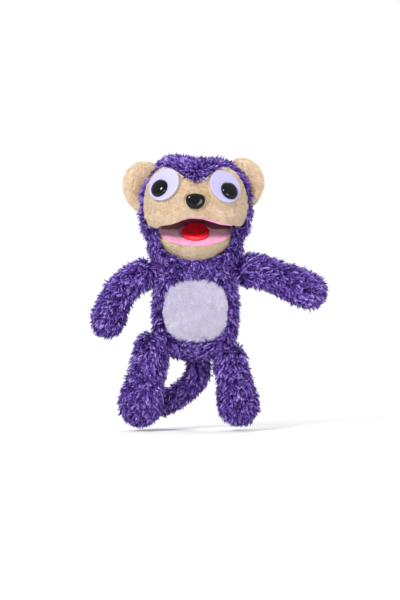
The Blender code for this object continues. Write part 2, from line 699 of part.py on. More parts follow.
# ---------------------------------------------------------------- jaw
def build_jaw():
    """The jaw board with its knuckles, felt lining, tongue and padded chin, all about the jaw pin."""
    jaw = pivot("jaw_pivot", JAW_PIVOT, JAW_OPEN)
    place = jaw.matrix_world.copy()

    board_mesh = outline_mesh(jaw_outline(-PLUSH - GAP), BOARD_TOP - BOARD, BOARD_TOP, "Z")
    board_mesh.transform(place)
    board = put("jaw_plate", board_mesh, "grey_plastic")
    for side in (-1, 1):
        inner, outer = sorted(side * x for x in JAW_ARM_X)
        arm = box_mesh((inner, JAW_BACK_Y - 0.003, -0.0030), (outer, 0, 0.0030))
        hub = rod_mesh((inner - PROUD, 0, 0), (outer + PROUD, 0, 0), KNUCKLE_R)
        arm.transform(place)
        hub.transform(place)
        boolean(board, arm, "UNION", f"arm{side}")
        boolean(board, hub, "UNION", f"hub{side}")
    bore = rod_mesh((-0.05, 0, 0), (0.05, 0, 0), PIN_R + GAP)
    bore.transform(place)
    boolean(board, bore, name="pin_bore")
    peg_hole = rod_mesh((0, PEG_Y, -0.02), (0, PEG_Y, 0.02), PEG_R + GAP)
    peg_hole.transform(place)
    boolean(board, peg_hole, name="peg_hole")

    lining_outline = [(x, min(y, JAW_BACK_Y - 0.006)) for x, y in jaw_outline(0.0)]
    lining_mesh = outline_mesh(lining_outline, BOARD_TOP + GAP, BOARD_TOP + GAP + LINING, "Z")
    lining_mesh.transform(place)
    lining = put("jaw_lining", lining_mesh, "pink_felt")
    boolean(lining, peg_hole.copy(), name="peg_hole")

    tongue = build_tongue(place)
    chin = build_chin(place)
    for obj in (board, lining, tongue, *chin):
        hang(obj, jaw)


def build_tongue(place):
    """A moulded tongue with a raised rim, and a peg through the jaw board."""
    floor = BOARD_TOP + GAP + LINING + GAP
    outline = [(0.0120, -0.0130), (-0.0120, -0.0130), (-0.0135, -0.0240), (-0.0150, -0.0340)]
    arc = [(-0.0155 * cos(pi * i / 14), -0.0375 - 0.0140 * sin(pi * i / 14)) for i in range(15)]
    outline = outline + arc + [(0.0150, -0.0340), (0.0135, -0.0240)]
    mesh = outline_mesh(outline, floor, floor + 0.0042, "Z")
    mesh.transform(place)
    tongue = put("tongue", mesh, "red_plastic")
    bevel(tongue, 0.0016, 2)
    inner = [(x * 0.80, -0.032 + (y + 0.032) * 0.84) for x, y in outline]
    dish = outline_mesh(inner, floor + 0.0030, floor + 0.0080, "Z")
    dish.transform(place)
    boolean(tongue, dish, name="dish")
    peg = rod_mesh((0, PEG_Y, -0.0050), (0, PEG_Y, floor + 0.001), PEG_R)
    peg.transform(place)
    boolean(tongue, peg, "UNION", "peg")
    return tongue


def build_chin(place):
    """The foam chin under the jaw board and the plush panel round it."""
    seat_top = BOARD_TOP - BOARD - GAP
    rear = box_mesh((-0.1, -0.0325, 0.0), (0.1, 0.1, 0.2))
    pieces = []
    for name, inset, finish_name in (("chin_pad", PLUSH + GAP, "foam"), ("chin_panel", 0.0, "beige_plush")):
        half = (JAW_HALF_X + 0.0005 - inset, JAW_NOSE_LENGTH + 0.001 - inset, CHIN_DEPTH - inset)
        mesh = ball_mesh((0, JAW_NOSE_Y, 0), half, 20, 12)
        mesh.transform(place)
        obj = put(name, mesh, finish_name)
        if name == "chin_panel":
            solidify(obj, PLUSH - GAP)
            seat = outline_mesh(jaw_outline(-PLUSH), seat_top, 0.001, "Z")
            seat.transform(place)
            boolean(obj, seat, name="board_seat")
        flat_z = seat_top if name == "chin_pad" else BOARD_TOP - GAP
        lid = box_mesh((-0.1, -0.1, flat_z), (0.1, 0.1, 0.1))
        lid.transform(place)
        boolean(obj, lid, name="flat_top")
        boolean(obj, rear.copy(), name="flat_rear")
        pieces.append(obj)
    peg = rod_mesh((0, PEG_Y, -0.0070), (0, PEG_Y, 0.01), PEG_R + 0.0006)
    peg.transform(place)
    boolean(pieces[0], peg, name="peg_hole")
    return pieces


# ---------------------------------------------------------------- torso
def spine_channel():
    """The room that the back of the fabric leaves for the spine."""
    half_x = SPINE_HALF_X + 0.0009
    return box_mesh((-half_x, -0.0191, SPINE_BASE_Z - 0.0013), (half_x, SPINE_BACK_Y + GAP, 0.0753))


def build_torso():
    """The body fur sleeve with its belly, back, neck and limb openings, and two side pads."""
    fur = put("body_fur", torso_mesh(), "purple_fur")
    solidify(fur, FUR)
    belly = superellipse((0, BELLY_CENTRE_Z), (BELLY_HALF_X + 0.0015, BELLY_HALF_Z + 0.0015), 2.6, 32)
    boolean(fur, outline_mesh(belly, -0.10, BODY_Y - 0.006), name="belly")
    window = superellipse((0, 0), (GRIP_HALF_X + 0.0012, GRIP_HALF_Z + 0.0012), 5, 28)
    boolean(fur, outline_mesh(window, BODY_Y + 0.010, 0.02), name="back_window")
    boolean(fur, spine_channel(), name="spine_channel")
    neck = superellipse((0, BODY_Y + 0.003), (0.0300, 0.0205), 2.4, 28)
    boolean(fur, outline_mesh(neck, 0.0437, 0.080, "Z"), name="neck")
    for centre, half in socket_places():
        boolean(fur, ball_mesh(centre, half, 16, 10), name="socket")

    for side_name, side in (("left", -1), ("right", 1)):
        pad = ball_mesh((side * 0.0290, -0.0225, 0.010), (0.0058, 0.0095, 0.0190), 12, 8)
        put(f"side_pad_{side_name}", pad, "stuffing")


def socket_places():
    """Where the limbs enter the body fur: centres and half sizes of the clearances."""
    arm = ARM_RADII[0] + 0.0030
    leg = LEG_RADII[0] + 0.0030
    tail = TAIL_RADII[0] + 0.0020
    return [
        (Vector((ARM_LEFT[0][0], BODY_Y, ARM_LEFT[0][1])), (arm, arm, arm)),
        (Vector((ARM_RIGHT[0][0], BODY_Y, ARM_RIGHT[0][1])), (arm, arm, arm)),
        (Vector((LEG_LEFT[0][0], LEG_Y, LEG_LEFT[0][1])), (leg, leg * 1.25, leg)),
        (Vector((LEG_RIGHT[0][0], LEG_Y, LEG_RIGHT[0][1])), (leg, leg * 1.25, leg)),
        (Vector(TAIL[0]), (tail, tail, tail)),
    ]


# ---------------------------------------------------------------- belly paddle, rod and spring
def build_paddle():
    """The belly paddle with hinge lugs and crank, and the white panel over it."""
    paddle_pivot = pivot("paddle_pivot", (0, PADDLE_Y, PADDLE_Z))
    plan = superellipse((0, 0.0085), (0.0232, 0.0295), 3.0, 28)
    paddle = put("belly_paddle", outline_mesh(plan, PADDLE_FRONT_Y, PADDLE_BACK_Y), "grey_plastic")
    for side in (-1, 1):
        inner, outer = sorted(side * x for x in PADDLE_LUG_X)
        lug = box_mesh((inner, PADDLE_ROOT_Y, PADDLE_Z - 0.0104),
                       (outer, PADDLE_Y + 0.0004, PADDLE_Z + 0.0020))
        hub = rod_mesh((inner - PROUD, PADDLE_Y, PADDLE_Z), (outer + PROUD, PADDLE_Y, PADDLE_Z), HUB_R)
        boolean(paddle, lug, "UNION", f"lug{side}")
        boolean(paddle, hub, "UNION", f"hub{side}")
    arm = box_mesh((-CRANK_HALF_X, PADDLE_ROOT_Y, PADDLE_Z - 0.0042),
                   (CRANK_HALF_X, ROD_Y + 0.0005, PADDLE_Z + 0.0013))
    boolean(paddle, arm, "UNION", "arm")
    hub_half = CRANK_HALF_X + PROUD
    hub = rod_mesh((-hub_half, PADDLE_Y, PADDLE_Z), (hub_half, PADDLE_Y, PADDLE_Z), HUB_R)
    boolean(paddle, hub, "UNION", "hub")
    nose_half = CRANK_HALF_X - PROUD
    nose_z = ROD_FOOT_Z - GAP - CRANK_NOSE_R
    nose = rod_mesh((-nose_half, ROD_Y, nose_z), (nose_half, ROD_Y, nose_z), CRANK_NOSE_R)
    boolean(paddle, nose, "UNION", "nose")
    pin_bore(paddle, PADDLE_Y, PADDLE_Z)

    panel = put("belly_panel", torso_mesh(), "white_plush")
    solidify(panel, 0.0030)
    belly = superellipse((0, BELLY_CENTRE_Z), (BELLY_HALF_X, BELLY_HALF_Z), 2.6, 32)
    boolean(panel, outline_mesh(belly, -0.10, BODY_Y - 0.008), "INTERSECT", "outline")
    for obj in (paddle, panel):
        hang(obj, paddle_pivot)


def build_rod():
    """The push rod, turned with a foot at its lower end, and the return spring round it."""
    rod_pivot = pivot("rod_guide", (0, ROD_Y, ROD_FOOT_Z))
    height = ROD_TIP_Z - ROD_FOOT_Z
    tip = [(ROD_R * sin(a), height - ROD_R + ROD_R * cos(a)) for a in [pi / 2 * i / 5 for i in range(6)]]
    foot = [(ROD_R, ROD_FOOT_HEIGHT), (ROD_FOOT_R, ROD_FOOT_HEIGHT), (ROD_FOOT_R, 0), (0, 0)]
    rod = turned("push_rod", tip + foot, "grey_plastic", 14)
    rod.location = (0, ROD_Y, ROD_FOOT_Z)

    low, high = ROD_FOOT_Z + ROD_FOOT_HEIGHT + GAP + WIRE_R, GUIDE_Z - GAP - WIRE_R
    steps = SPRING_POINTS * SPRING_TURNS
    curve = bpy.data.curves.new("return_spring", "CURVE")
    curve.dimensions = "3D"
    curve.bevel_depth = WIRE_R
    curve.bevel_resolution = 1
    curve.use_fill_caps = True
    spline = curve.splines.new("POLY")
    spline.points.add(steps)
    for i, point in enumerate(spline.points):
        turn = 2 * pi * SPRING_TURNS * i / steps
        rise = low + (high - low) * i / steps
        flat = min(i, steps - i) / SPRING_POINTS
        if flat < 1:
            edge = low if i < steps / 2 else high
            rise = edge + (rise - edge) * flat
        point.co = (SPRING_R * cos(turn), ROD_Y + SPRING_R * sin(turn), rise, 1)
    spring = bpy.data.objects.new("return_spring", curve)
    PUPPET.objects.link(spring)
    finish(spring, "steel")
    for obj in (rod, spring):
        hang(obj, rod_pivot)


# ---------------------------------------------------------------- limbs
def build_limb(name, path, radii, depth=None):
    """A fur sleeve open at its root and the stuffing core inside it, on a pivot at the path's start."""
    points = [Vector((p[0], depth, p[1])) if depth is not None else Vector(p) for p in path]
    joint = pivot(f"{name}_pivot", points[0])
    sleeve = put(f"{name}_sleeve", limb_mesh(points, radii, 0.0, True), "purple_fur")
    solidify(sleeve, SLEEVE)
    core = put(f"{name}_core", limb_mesh(points, radii, CORE_INSET, False, 10, 8), "stuffing")
    for obj in (sleeve, core):
        hang(obj, joint)


def build_limbs():
    build_limb("arm_left", ARM_LEFT, ARM_RADII, BODY_Y)
    build_limb("arm_right", ARM_RIGHT, ARM_RADII, BODY_Y)
    build_limb("leg_left", LEG_LEFT, LEG_RADII, LEG_Y)
    build_limb("leg_right", LEG_RIGHT, LEG_RADII, LEG_Y)
    build_limb("tail", TAIL, TAIL_RADII)


# ---------------------------------------------------------------- build everything
build_spine_frame()
build_back_grip()
for label, height in (("upper", GRIP_SCREW_Z), ("lower", -GRIP_SCREW_Z)):
    build_screw(f"grip_screw_{label}", (0, GRIP_SEAT_Y + GAP, height), (0, 1, 0))
for label, place_x in (("left", -PALATE_SCREW_X), ("right", PALATE_SCREW_X)):
    build_screw(f"palate_screw_{label}", (place_x, PALATE_SCREW_Y, PALATE_Z + PALATE_BOARD + GAP), (0, 0, 1))
build_pins()
build_palate()
build_head_shells()
for label, eye in EYES.items():
    build_eye(label, *eye)
build_nose()
build_ear("left", -1, -0.0570, 0.1455, 0.0245)
build_ear("right", 1, 0.0530, 0.1490, 0.0235)
build_jaw()
build_torso()
build_paddle()
build_rod()
build_limbs()

for piece in PUPPET.objects:
    if piece.type == "MESH":
        smooth(piece.data)
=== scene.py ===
"""Looks of the moving mouth puppet: pile, felt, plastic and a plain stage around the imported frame."""
import json
from math import cos, exp, pi, radians, sin

import bmesh
import bpy
import numpy as np
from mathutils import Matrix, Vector
from mathutils.bvhtree import BVHTree
from mathutils.kdtree import KDTree


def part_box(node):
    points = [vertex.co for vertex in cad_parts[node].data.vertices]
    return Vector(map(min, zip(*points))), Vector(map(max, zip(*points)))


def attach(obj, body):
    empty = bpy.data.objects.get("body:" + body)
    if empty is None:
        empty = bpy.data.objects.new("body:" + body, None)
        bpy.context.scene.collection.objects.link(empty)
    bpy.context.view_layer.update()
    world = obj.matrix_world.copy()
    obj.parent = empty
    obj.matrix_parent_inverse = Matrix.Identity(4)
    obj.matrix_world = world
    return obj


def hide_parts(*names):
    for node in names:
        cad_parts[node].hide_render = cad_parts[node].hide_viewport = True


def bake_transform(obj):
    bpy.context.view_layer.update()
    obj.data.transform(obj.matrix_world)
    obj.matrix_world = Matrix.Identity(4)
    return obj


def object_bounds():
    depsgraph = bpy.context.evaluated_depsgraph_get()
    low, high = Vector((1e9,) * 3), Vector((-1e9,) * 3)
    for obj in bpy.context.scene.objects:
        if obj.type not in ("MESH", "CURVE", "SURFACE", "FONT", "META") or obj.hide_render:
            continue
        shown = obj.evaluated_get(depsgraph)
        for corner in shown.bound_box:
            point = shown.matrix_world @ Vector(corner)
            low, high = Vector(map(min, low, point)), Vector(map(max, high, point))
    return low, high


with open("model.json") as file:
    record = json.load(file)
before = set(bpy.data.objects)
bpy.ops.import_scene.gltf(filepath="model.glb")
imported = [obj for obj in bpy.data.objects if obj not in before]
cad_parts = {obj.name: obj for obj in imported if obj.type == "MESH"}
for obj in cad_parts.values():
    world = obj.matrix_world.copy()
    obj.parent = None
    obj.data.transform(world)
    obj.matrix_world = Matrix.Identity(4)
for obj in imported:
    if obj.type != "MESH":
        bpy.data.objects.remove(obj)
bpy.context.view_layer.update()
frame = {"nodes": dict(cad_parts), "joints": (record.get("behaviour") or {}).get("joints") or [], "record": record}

MM = 0.001
JOINTS = {joint["name"]: joint for joint in frame["joints"]}
SIDES = (("left", -1), ("right", 1))


def middle(node):
    low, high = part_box(node)
    return (low + high) / 2


HOOD_LOW, HOOD_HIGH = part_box("hood_fur")
HEAD_CENTRE = (HOOD_LOW + HOOD_HIGH) / 2
TORSO_CENTRE = middle("body_fur")
NOSE_CENTRE = middle("nose")
WHORL = Vector((4 * MM, HOOD_LOW.y + 10 * MM, HOOD_HIGH.z - 8 * MM))


# ---------------------------------------------------------------- materials
def linear(red, green, blue):
    """A colour from 0 to 255 values, made linear."""
    parts = [value / 255 for value in (red, green, blue)]
    return tuple(c / 12.92 if c <= 0.04045 else ((c + 0.055) / 1.055) ** 2.4 for c in parts)


def plain(name, colour, roughness, **sockets):
    """A Principled material whose values are all set on its sockets."""
    mat = bpy.data.materials.new(name)
    mat.use_nodes = True
    shader = mat.node_tree.nodes["Principled BSDF"]
    shader.inputs["Base Color"].default_value = (*colour, 1)
    shader.inputs["Roughness"].default_value = roughness
    for socket, value in sockets.items():
        shader.inputs[socket.replace("_", " ")].default_value = value
    return mat


ROUGHNESS_SPREAD = 0.08
LEAST_ROUGHNESS = 0.02
GRAIN_HEIGHT = 0.3 * MM


def mottled(name, light, dark, roughness, scale, bump=0.0, bump_scale=0.0, stretch=(1, 1, 1), **sockets):
    """A material whose colour, roughness and relief vary with noise in the object's own space."""
    mat = plain(name, light, roughness, **sockets)
    nodes, links = mat.node_tree.nodes, mat.node_tree.links
    shader = nodes["Principled BSDF"]
    place = nodes.new("ShaderNodeTexCoord")
    mapping = nodes.new("ShaderNodeMapping")
    mapping.inputs["Scale"].default_value = stretch
    links.new(place.outputs["Object"], mapping.inputs["Vector"])
    patches = nodes.new("ShaderNodeTexNoise")
    patches.inputs["Scale"].default_value = scale
    patches.inputs["Detail"].default_value = 5
    links.new(mapping.outputs["Vector"], patches.inputs["Vector"])
    ramp = nodes.new("ShaderNodeValToRGB")
    for element, position, colour in zip(ramp.color_ramp.elements, (0.35, 0.65), (dark, light)):
        element.position = position
        element.color = (*colour, 1)
    links.new(patches.outputs["Fac"], ramp.inputs["Fac"])
    links.new(ramp.outputs["Color"], shader.inputs["Base Color"])
    rough = nodes.new("ShaderNodeMapRange")
    rough.inputs["To Min"].default_value = max(roughness - ROUGHNESS_SPREAD, LEAST_ROUGHNESS)
    rough.inputs["To Max"].default_value = min(roughness + ROUGHNESS_SPREAD, 1)
    links.new(patches.outputs["Fac"], rough.inputs["Value"])
    links.new(rough.outputs["Result"], shader.inputs["Roughness"])
    if bump:
        grain = nodes.new("ShaderNodeTexNoise")
        grain.inputs["Scale"].default_value = bump_scale
        grain.inputs["Detail"].default_value = 6
        links.new(mapping.outputs["Vector"], grain.inputs["Vector"])
        relief = nodes.new("ShaderNodeBump")
        relief.inputs["Strength"].default_value = bump
        relief.inputs["Distance"].default_value = GRAIN_HEIGHT
        links.new(grain.outputs["Fac"], relief.inputs["Height"])
        links.new(relief.outputs["Normal"], shader.inputs["Normal"])
    return mat


def shades(name, colours, roughness, **sockets):
    """One plain material for each shade of a pile, from its darkest to its lightest."""
    return [plain(f"{name}_{i}", linear(*colour), roughness, **sockets)
            for i, colour in enumerate(colours)]


# Strands take these shades at random, plus a darker one at the root as painted shade and a lighter one at the tip
# as a painted highlight.
PURPLE_SHADES = shades("purple_pile", [
    (26, 6, 60), (40, 16, 86), (58, 30, 112), (82, 52, 142), (112, 80, 176), (146, 116, 208), (184, 160, 234),
], 0.60, Specular_IOR_Level=0.25)
BEIGE_SHADES = shades("beige_pile", [
    (218, 184, 148), (226, 196, 162), (232, 207, 176), (238, 217, 190), (243, 226, 202), (248, 234, 214),
], 0.85, Specular_IOR_Level=0.10)
WHITE_SHADES = shades("white_pile", [
    (212, 205, 228), (217, 211, 232), (222, 216, 236), (227, 222, 240), (232, 228, 244),
], 0.85, Specular_IOR_Level=0.10)

PURPLE_BACKING = mottled("purple_backing", linear(40, 18, 82), linear(26, 8, 56), 0.95, 220, 0.6, 1500)
BEIGE_BACKING = mottled("beige_backing", linear(214, 188, 150), linear(198, 168, 128), 0.95, 90, 0.6, 1800)
WHITE_BACKING = mottled("white_backing", linear(214, 210, 230), linear(198, 194, 218), 0.95, 90, 0.6, 1800)
PINK_FELT = mottled("pink_felt", linear(226, 146, 182), linear(208, 116, 158), 0.95, 260, 0.7, 2600,
                    Sheen_Weight=0.4, Sheen_Roughness=0.6)
MAROON_FELT = mottled("maroon_felt", linear(132, 18, 62), linear(96, 6, 40), 0.95, 200, 0.7, 2600,
                      Sheen_Weight=0.2, Sheen_Roughness=0.6)
RED_PLASTIC = mottled("red_plastic", linear(214, 14, 34), linear(200, 8, 26), 0.20, 60, 0.03, 400,
                      Specular_IOR_Level=0.5, Coat_Weight=0.3, Coat_Roughness=0.08)
WHITE_PLASTIC = mottled("white_plastic", linear(168, 164, 202), linear(163, 158, 198), 0.34, 40, 0.02, 500,
                        Specular_IOR_Level=0.3)
BLACK_PLASTIC = mottled("black_plastic", linear(10, 10, 15), linear(5, 5, 8), 0.09, 60, 0.02, 400,
                        Specular_IOR_Level=0.22)
GREY_PLASTIC = mottled("grey_plastic", linear(150, 152, 158), linear(138, 140, 146), 0.50, 120, 0.15, 1400)
STEEL = mottled("steel", linear(196, 198, 202), linear(176, 178, 184), 0.32, 60, 0.12, 900, (1, 1, 12),
                Metallic=1.0)
FIBRE = mottled("fibre_fill", linear(238, 238, 236), linear(216, 216, 214), 0.95, 260, 0.9, 900)


def paint(obj, *materials):
    obj.data.materials.clear()
    for mat in materials:
        obj.data.materials.append(mat)
    return obj


# ---------------------------------------------------------------- mesh helpers
def put(name, mesh, *materials):
    obj = bpy.data.objects.new(name, mesh)
    bpy.context.scene.collection.objects.link(obj)
    if materials:
        paint(obj, *materials)
    return obj


def mesh_from(name, verts, faces, smooth=True):
    mesh = bpy.data.meshes.new(name)
    mesh.from_pydata(verts, [], faces)
    if smooth:
        mesh.shade_smooth()
    return mesh


def coordinates(mesh):
    flat = np.empty(len(mesh.vertices) * 3)
    mesh.vertices.foreach_get("co", flat)
    return flat.reshape(-1, 3)


def set_coordinates(mesh, points):
    mesh.vertices.foreach_set("co", points.astype(np.float32).ravel())
    mesh.update()


def vertex_normals(mesh):
    flat = np.empty(len(mesh.vertices) * 3, np.float32)
    mesh.vertices.foreach_get("normal", flat)
    return flat.reshape(-1, 3)


def unit(vectors):
    return vectors / np.maximum(np.linalg.norm(vectors, axis=1, keepdims=True), 1e-12)


def grid_faces(high, wide, start=0, closed=False):
    """Four-sided faces between rows of points, where a closed row joins its last point to its first."""
    columns = wide if closed else wide - 1
    faces = []
    for row in range(high - 1):
        for k in range(columns):
            a, b = start + row * wide + k, start + row * wide + (k + 1) % wide
            faces.append((a, b, b + wide, a + wide))
    return faces


def apply_modifiers(obj):
    """Replace an object's mesh with its evaluated one."""
    bpy.context.view_layer.update()
    mesh = bpy.data.meshes.new_from_object(obj.evaluated_get(bpy.context.evaluated_depsgraph_get()))
    obj.modifiers.clear()
    obj.data = mesh
    mesh.shade_smooth()
    return obj


def remeshed(name, nodes, voxel, smoothing, material):
    """A fine, soft-edged mesh from the solids of some CAD nodes."""
    bm = bmesh.new()
    for node in nodes:
        bm.from_mesh(frame["nodes"][node].data)
    mesh = bpy.data.meshes.new(name)
    bm.to_mesh(mesh)
    bm.free()
    obj = put(name, mesh)
    remesh = obj.modifiers.new("remesh", "REMESH")
    remesh.mode = "VOXEL"
    remesh.voxel_size = voxel
    relax = obj.modifiers.new("relax", "SMOOTH")
    relax.factor = 0.5
    relax.iterations = smoothing
    apply_modifiers(obj)
    return paint(obj, material)


def grow(obj, distance):
    """Move an object's faces out along their normals."""
    set_coordinates(obj.data, coordinates(obj.data) + vertex_normals(obj.data) * distance)


STUFFING_PRESSURE = 4.0
SWELL_FRAMES = 20
MOST_SWELL = 1.2 * MM


def inflate(objects):
    """Swell closed skins like stuffed fabric with one cloth simulation, and hold back its furthest points."""
    before = {obj: coordinates(obj.data) for obj in objects}
    for obj in objects:
        cloth = obj.modifiers.new("cloth", "CLOTH")
        cloth.settings.use_pressure = True
        cloth.settings.uniform_pressure_force = STUFFING_PRESSURE
        cloth.settings.effector_weights.gravity = 0
        cloth.point_cache.frame_end = SWELL_FRAMES
    for number in range(1, SWELL_FRAMES + 1):
        bpy.context.scene.frame_set(number)
    graph = bpy.context.evaluated_depsgraph_get()
    for obj in objects:
        moved = coordinates(obj.evaluated_get(graph).data) - before[obj]
        reach = np.linalg.norm(moved, axis=1, keepdims=True)
        moved *= np.minimum(1, MOST_SWELL / np.maximum(reach, 1e-9))
        obj.modifiers.clear()
        set_coordinates(obj.data, before[obj] + moved)
    bpy.context.scene.frame_set(1)


def refine(obj):
    subdivide = obj.modifiers.new("fine", "SUBSURF")
    subdivide.levels = 1
    subdivide.render_levels = 1
    apply_modifiers(obj)


def thicken(obj, thickness):
    """Give a sheet its thickness, half of it on each side."""
    wall = obj.modifiers.new("thickness", "SOLIDIFY")
    wall.thickness = thickness
    wall.offset = 0


# ---------------------------------------------------------------- pile
def scatter(obj, density, rng, keep=None):
    """Random points on a mesh's faces, with smooth normals."""
    mesh = obj.data
    mesh.calc_loop_triangles()
    corners = np.empty(len(mesh.loop_triangles) * 3, np.int32)
    mesh.loop_triangles.foreach_get("vertices", corners)
    corners = corners.reshape(-1, 3)
    points, normals = coordinates(mesh), vertex_normals(mesh)
    a, b, c = (points[corners[:, i]] for i in range(3))
    areas = np.linalg.norm(np.cross(b - a, c - a), axis=1) / 2
    picks = rng.choice(len(areas), int(areas.sum() * density), p=areas / areas.sum())
    u, v = rng.random((2, len(picks)))
    over = u + v > 1
    u[over], v[over] = 1 - u[over], 1 - v[over]
    weights = np.stack([1 - u - v, u, v], axis=1)
    place = (points[corners[picks]] * weights[:, :, None]).sum(1)
    facing = unit((normals[corners[picks]] * weights[:, :, None]).sum(1))
    if keep is not None:
        mask = keep(place, facing)
        place, facing = place[mask], facing[mask]
    return place, facing


def flattened(vectors, normals):
    """The part of each vector that lies along the surface."""
    return vectors - normals * (vectors * normals).sum(1, keepdims=True)


# The rings of a strand: how far along it each one is, and its width as a share of the strand's radius.
LONG_RINGS = ((0.0, 0.80), (0.42, 1.0), (0.78, 0.62))
SHORT_RINGS = ((0.0, 0.90), (0.60, 0.75))
STRAND_FLATNESS = 0.62
MAX_FACES = 190_000


def strand_arrays(rings, roots, bends, tips, normals, radius, shade, shade_count):
    """Corners, faces and shade numbers of curved tapering strands, with painted root shade and painted tip
    highlights.
    """
    layers = []
    for at, width in rings:
        centre = roots * (1 - at) ** 2 + bends * 2 * at * (1 - at) + tips * at ** 2
        along = unit((bends - roots) * (1 - at) + (tips - bends) * at)
        side = unit(np.cross(along, normals + 1e-4))
        up = np.cross(side, along)
        for k in range(3):
            turn = 2 * pi * k / 3 + pi / 2
            reach = side * cos(turn) + up * sin(turn) * STRAND_FLATNESS
            layers.append(centre + reach * (radius * width)[:, None])
    verts = np.stack([*layers, tips], axis=1)
    # The shade step of each face: the base is two darker and the root faces one darker, painted shade between the
    # strands; the tip faces are one lighter, a painted highlight.
    faces, lift = [(2, 1, 0)], [-2]
    for ring in range(len(rings) - 1):
        for k in range(3):
            a, b = ring * 3 + k, ring * 3 + (k + 1) % 3
            faces += [(a, b, b + 3), (a, b + 3, a + 3)]
            lift += [ring - 1, ring - 1]
    last = (len(rings) - 1) * 3
    for k in range(3):
        faces.append((last + k, last + (k + 1) % 3, last + 3))
        lift.append(1)
    slots = np.clip(shade[:, None] + np.array(lift)[None], 0, shade_count - 1).astype(np.int32)
    return verts, np.array(faces), slots


# Density and clumps are counts for each square metre; lift is the strand's rise over the skin (0 to 1),
# gather how far its tip is drawn to its tuft's, stray the tufts' turn in radians, contrast in shades.
LONG_PILE = {
    "rings": LONG_RINGS, "density": 1.35e6, "clumps": 3.0e5, "length": 8.6 * MM, "radius": 0.44 * MM,
    "lift": 0.58, "gather": 0.70, "stray": 0.50, "contrast": 1.25,
}
SHORT_PILE = {
    "rings": SHORT_RINGS, "density": 6.5e6, "clumps": 6e4, "length": 3.0 * MM, "radius": 0.12 * MM,
    "lift": 0.46, "gather": 0.0, "stray": 0.14, "contrast": 0.42,
}
# How much each quality varies from tuft to tuft and from strand to strand.
STRAY_SPREAD = (1.3, 0.45)
LIFT_SPREAD = (0.16, 0.06)
LENGTH_SPREAD = (0.13, 0.08)
CURL_SPREAD = (0.10, 0.0)
SHADE_SPREAD = (1.0, 0.6)
RADIUS_SPREAD = 0.18
BEND_RISE = 0.40
BEND_LEAN = 0.12


def clear_of(tips, bends, cylinders):
    """True for each strand that stays out of all cylinders, each a point, its axis and its radius."""
    clear = np.ones(len(tips), bool)
    for base, axis, radius in cylinders:
        base, axis = np.array(base), np.array(axis)
        for points in (tips, bends):
            reach = points - base
            aside = np.linalg.norm(reach - np.outer(reach @ axis, axis), axis=1)
            clear &= (aside > radius) | (points[:, 1] > HEAD_CENTRE.y)
    return clear


def pile(name, skin, body, look, materials, comb, seed, *, keep=None, tone=None, avoid=(), trim=None):
    """Pile on a skin: combed along comb(points, normals), gathered into tufts, and shaded tuft by tuft.

    A pile of many strands is split into several pieces, from its foot to its top, and all are returned.
    """
    rng = np.random.default_rng(seed)
    roots, normals = scatter(skin, look["density"], rng, keep)
    count = len(roots)
    centres = rng.permutation(count)[:max(int(count * look["clumps"] / look["density"]), 1)]
    tree = KDTree(len(centres))
    for i, index in enumerate(centres):
        tree.insert(roots[index], i)
    tree.balance()
    owner = np.array([tree.find(root)[1] for root in roots])

    def varied(spread, scale=1.0):
        by_tuft, by_strand = spread
        return rng.normal(0, by_tuft * scale, len(centres))[owner] + rng.normal(0, by_strand * scale, count)

    lay = unit(flattened(comb(roots, normals), normals))
    cross = np.cross(normals, lay)
    swing = varied(STRAY_SPREAD, look["stray"])
    lay = lay * np.cos(swing)[:, None] + cross * np.sin(swing)[:, None]
    lift = np.clip(look["lift"] + varied(LIFT_SPREAD), 0.2, 0.95)
    length = look["length"] * (1 + varied(LENGTH_SPREAD))
    if trim is not None:
        length = length * trim(roots, normals)
    way = unit(normals * lift[:, None] + lay * (1 - lift * lift)[:, None] ** 0.5)
    tips = roots + way * length[:, None]
    curl = np.cross(way, normals) * (varied(CURL_SPREAD) * length)[:, None]
    tips = tips + (tips[centres][owner] - tips) * look["gather"] + curl
    bends = roots + (normals * BEND_RISE + lay * BEND_LEAN) * length[:, None]
    shade = (len(materials) - 1) / 2 + varied(SHADE_SPREAD, look["contrast"])
    if tone is not None:
        shade = shade + tone(roots)
    radius = look["radius"] * (1 + rng.normal(0, RADIUS_SPREAD, count))
    roots = roots - normals * radius[:, None]
    verts, faces, slots = strand_arrays(look["rings"], roots, bends, tips, normals, radius, np.round(shade),
                                        len(materials))
    order = np.argsort(roots[:, 2], kind="stable")
    order = order[clear_of(tips, bends, avoid)[order]]
    parts = -(-len(order) * len(faces) // MAX_FACES)
    pieces = []
    for number, chosen in enumerate(np.array_split(order, parts)):
        first_corners = np.arange(len(chosen)) * verts.shape[1]
        strand_faces = faces[None] + first_corners[:, None, None]
        title = f"{name}_{number + 1}" if parts > 1 else name
        mesh = mesh_from(title, verts[chosen].reshape(-1, 3), strand_faces.reshape(-1, 3))
        obj = put(title, mesh, *materials)
        mesh.polygons.foreach_set("material_index", slots[chosen].ravel())
        if body:
            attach(obj, body)
        pieces.append(obj)
    return pieces


def away_from(centre, down=0.0):
    """A combing that runs away from a point, with some pull downward."""
    centre = np.array(centre)
    return lambda points, normals: unit(points - centre) + np.array([0, 0, -down])


def falling(points, normals):
    """A combing straight down."""
    return np.tile((0.0, 0.0, -1.0), (len(points), 1))


def outside(centre, least=0.0):
    """Keeps the points of a shell's outer side, where the normal leans away from its centre."""
    centre = np.array(centre)
    return lambda points, normals: (unit(points - centre) * normals).sum(1) > least


def bump_at(points, x, z, wide, high):
    """A smooth bump of height 1 over the front, at x and z."""
    return np.exp(-((points[:, 0] - x) / wide) ** 2 - ((points[:, 2] - z) / high) ** 2)


# ---------------------------------------------------------------- skins
def skin_from(name, nodes, voxel, smoothing, material):
    """A skin that stands for some CAD nodes."""
    obj = remeshed(name, nodes, voxel, smoothing, material)
    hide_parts(*nodes)
    return obj


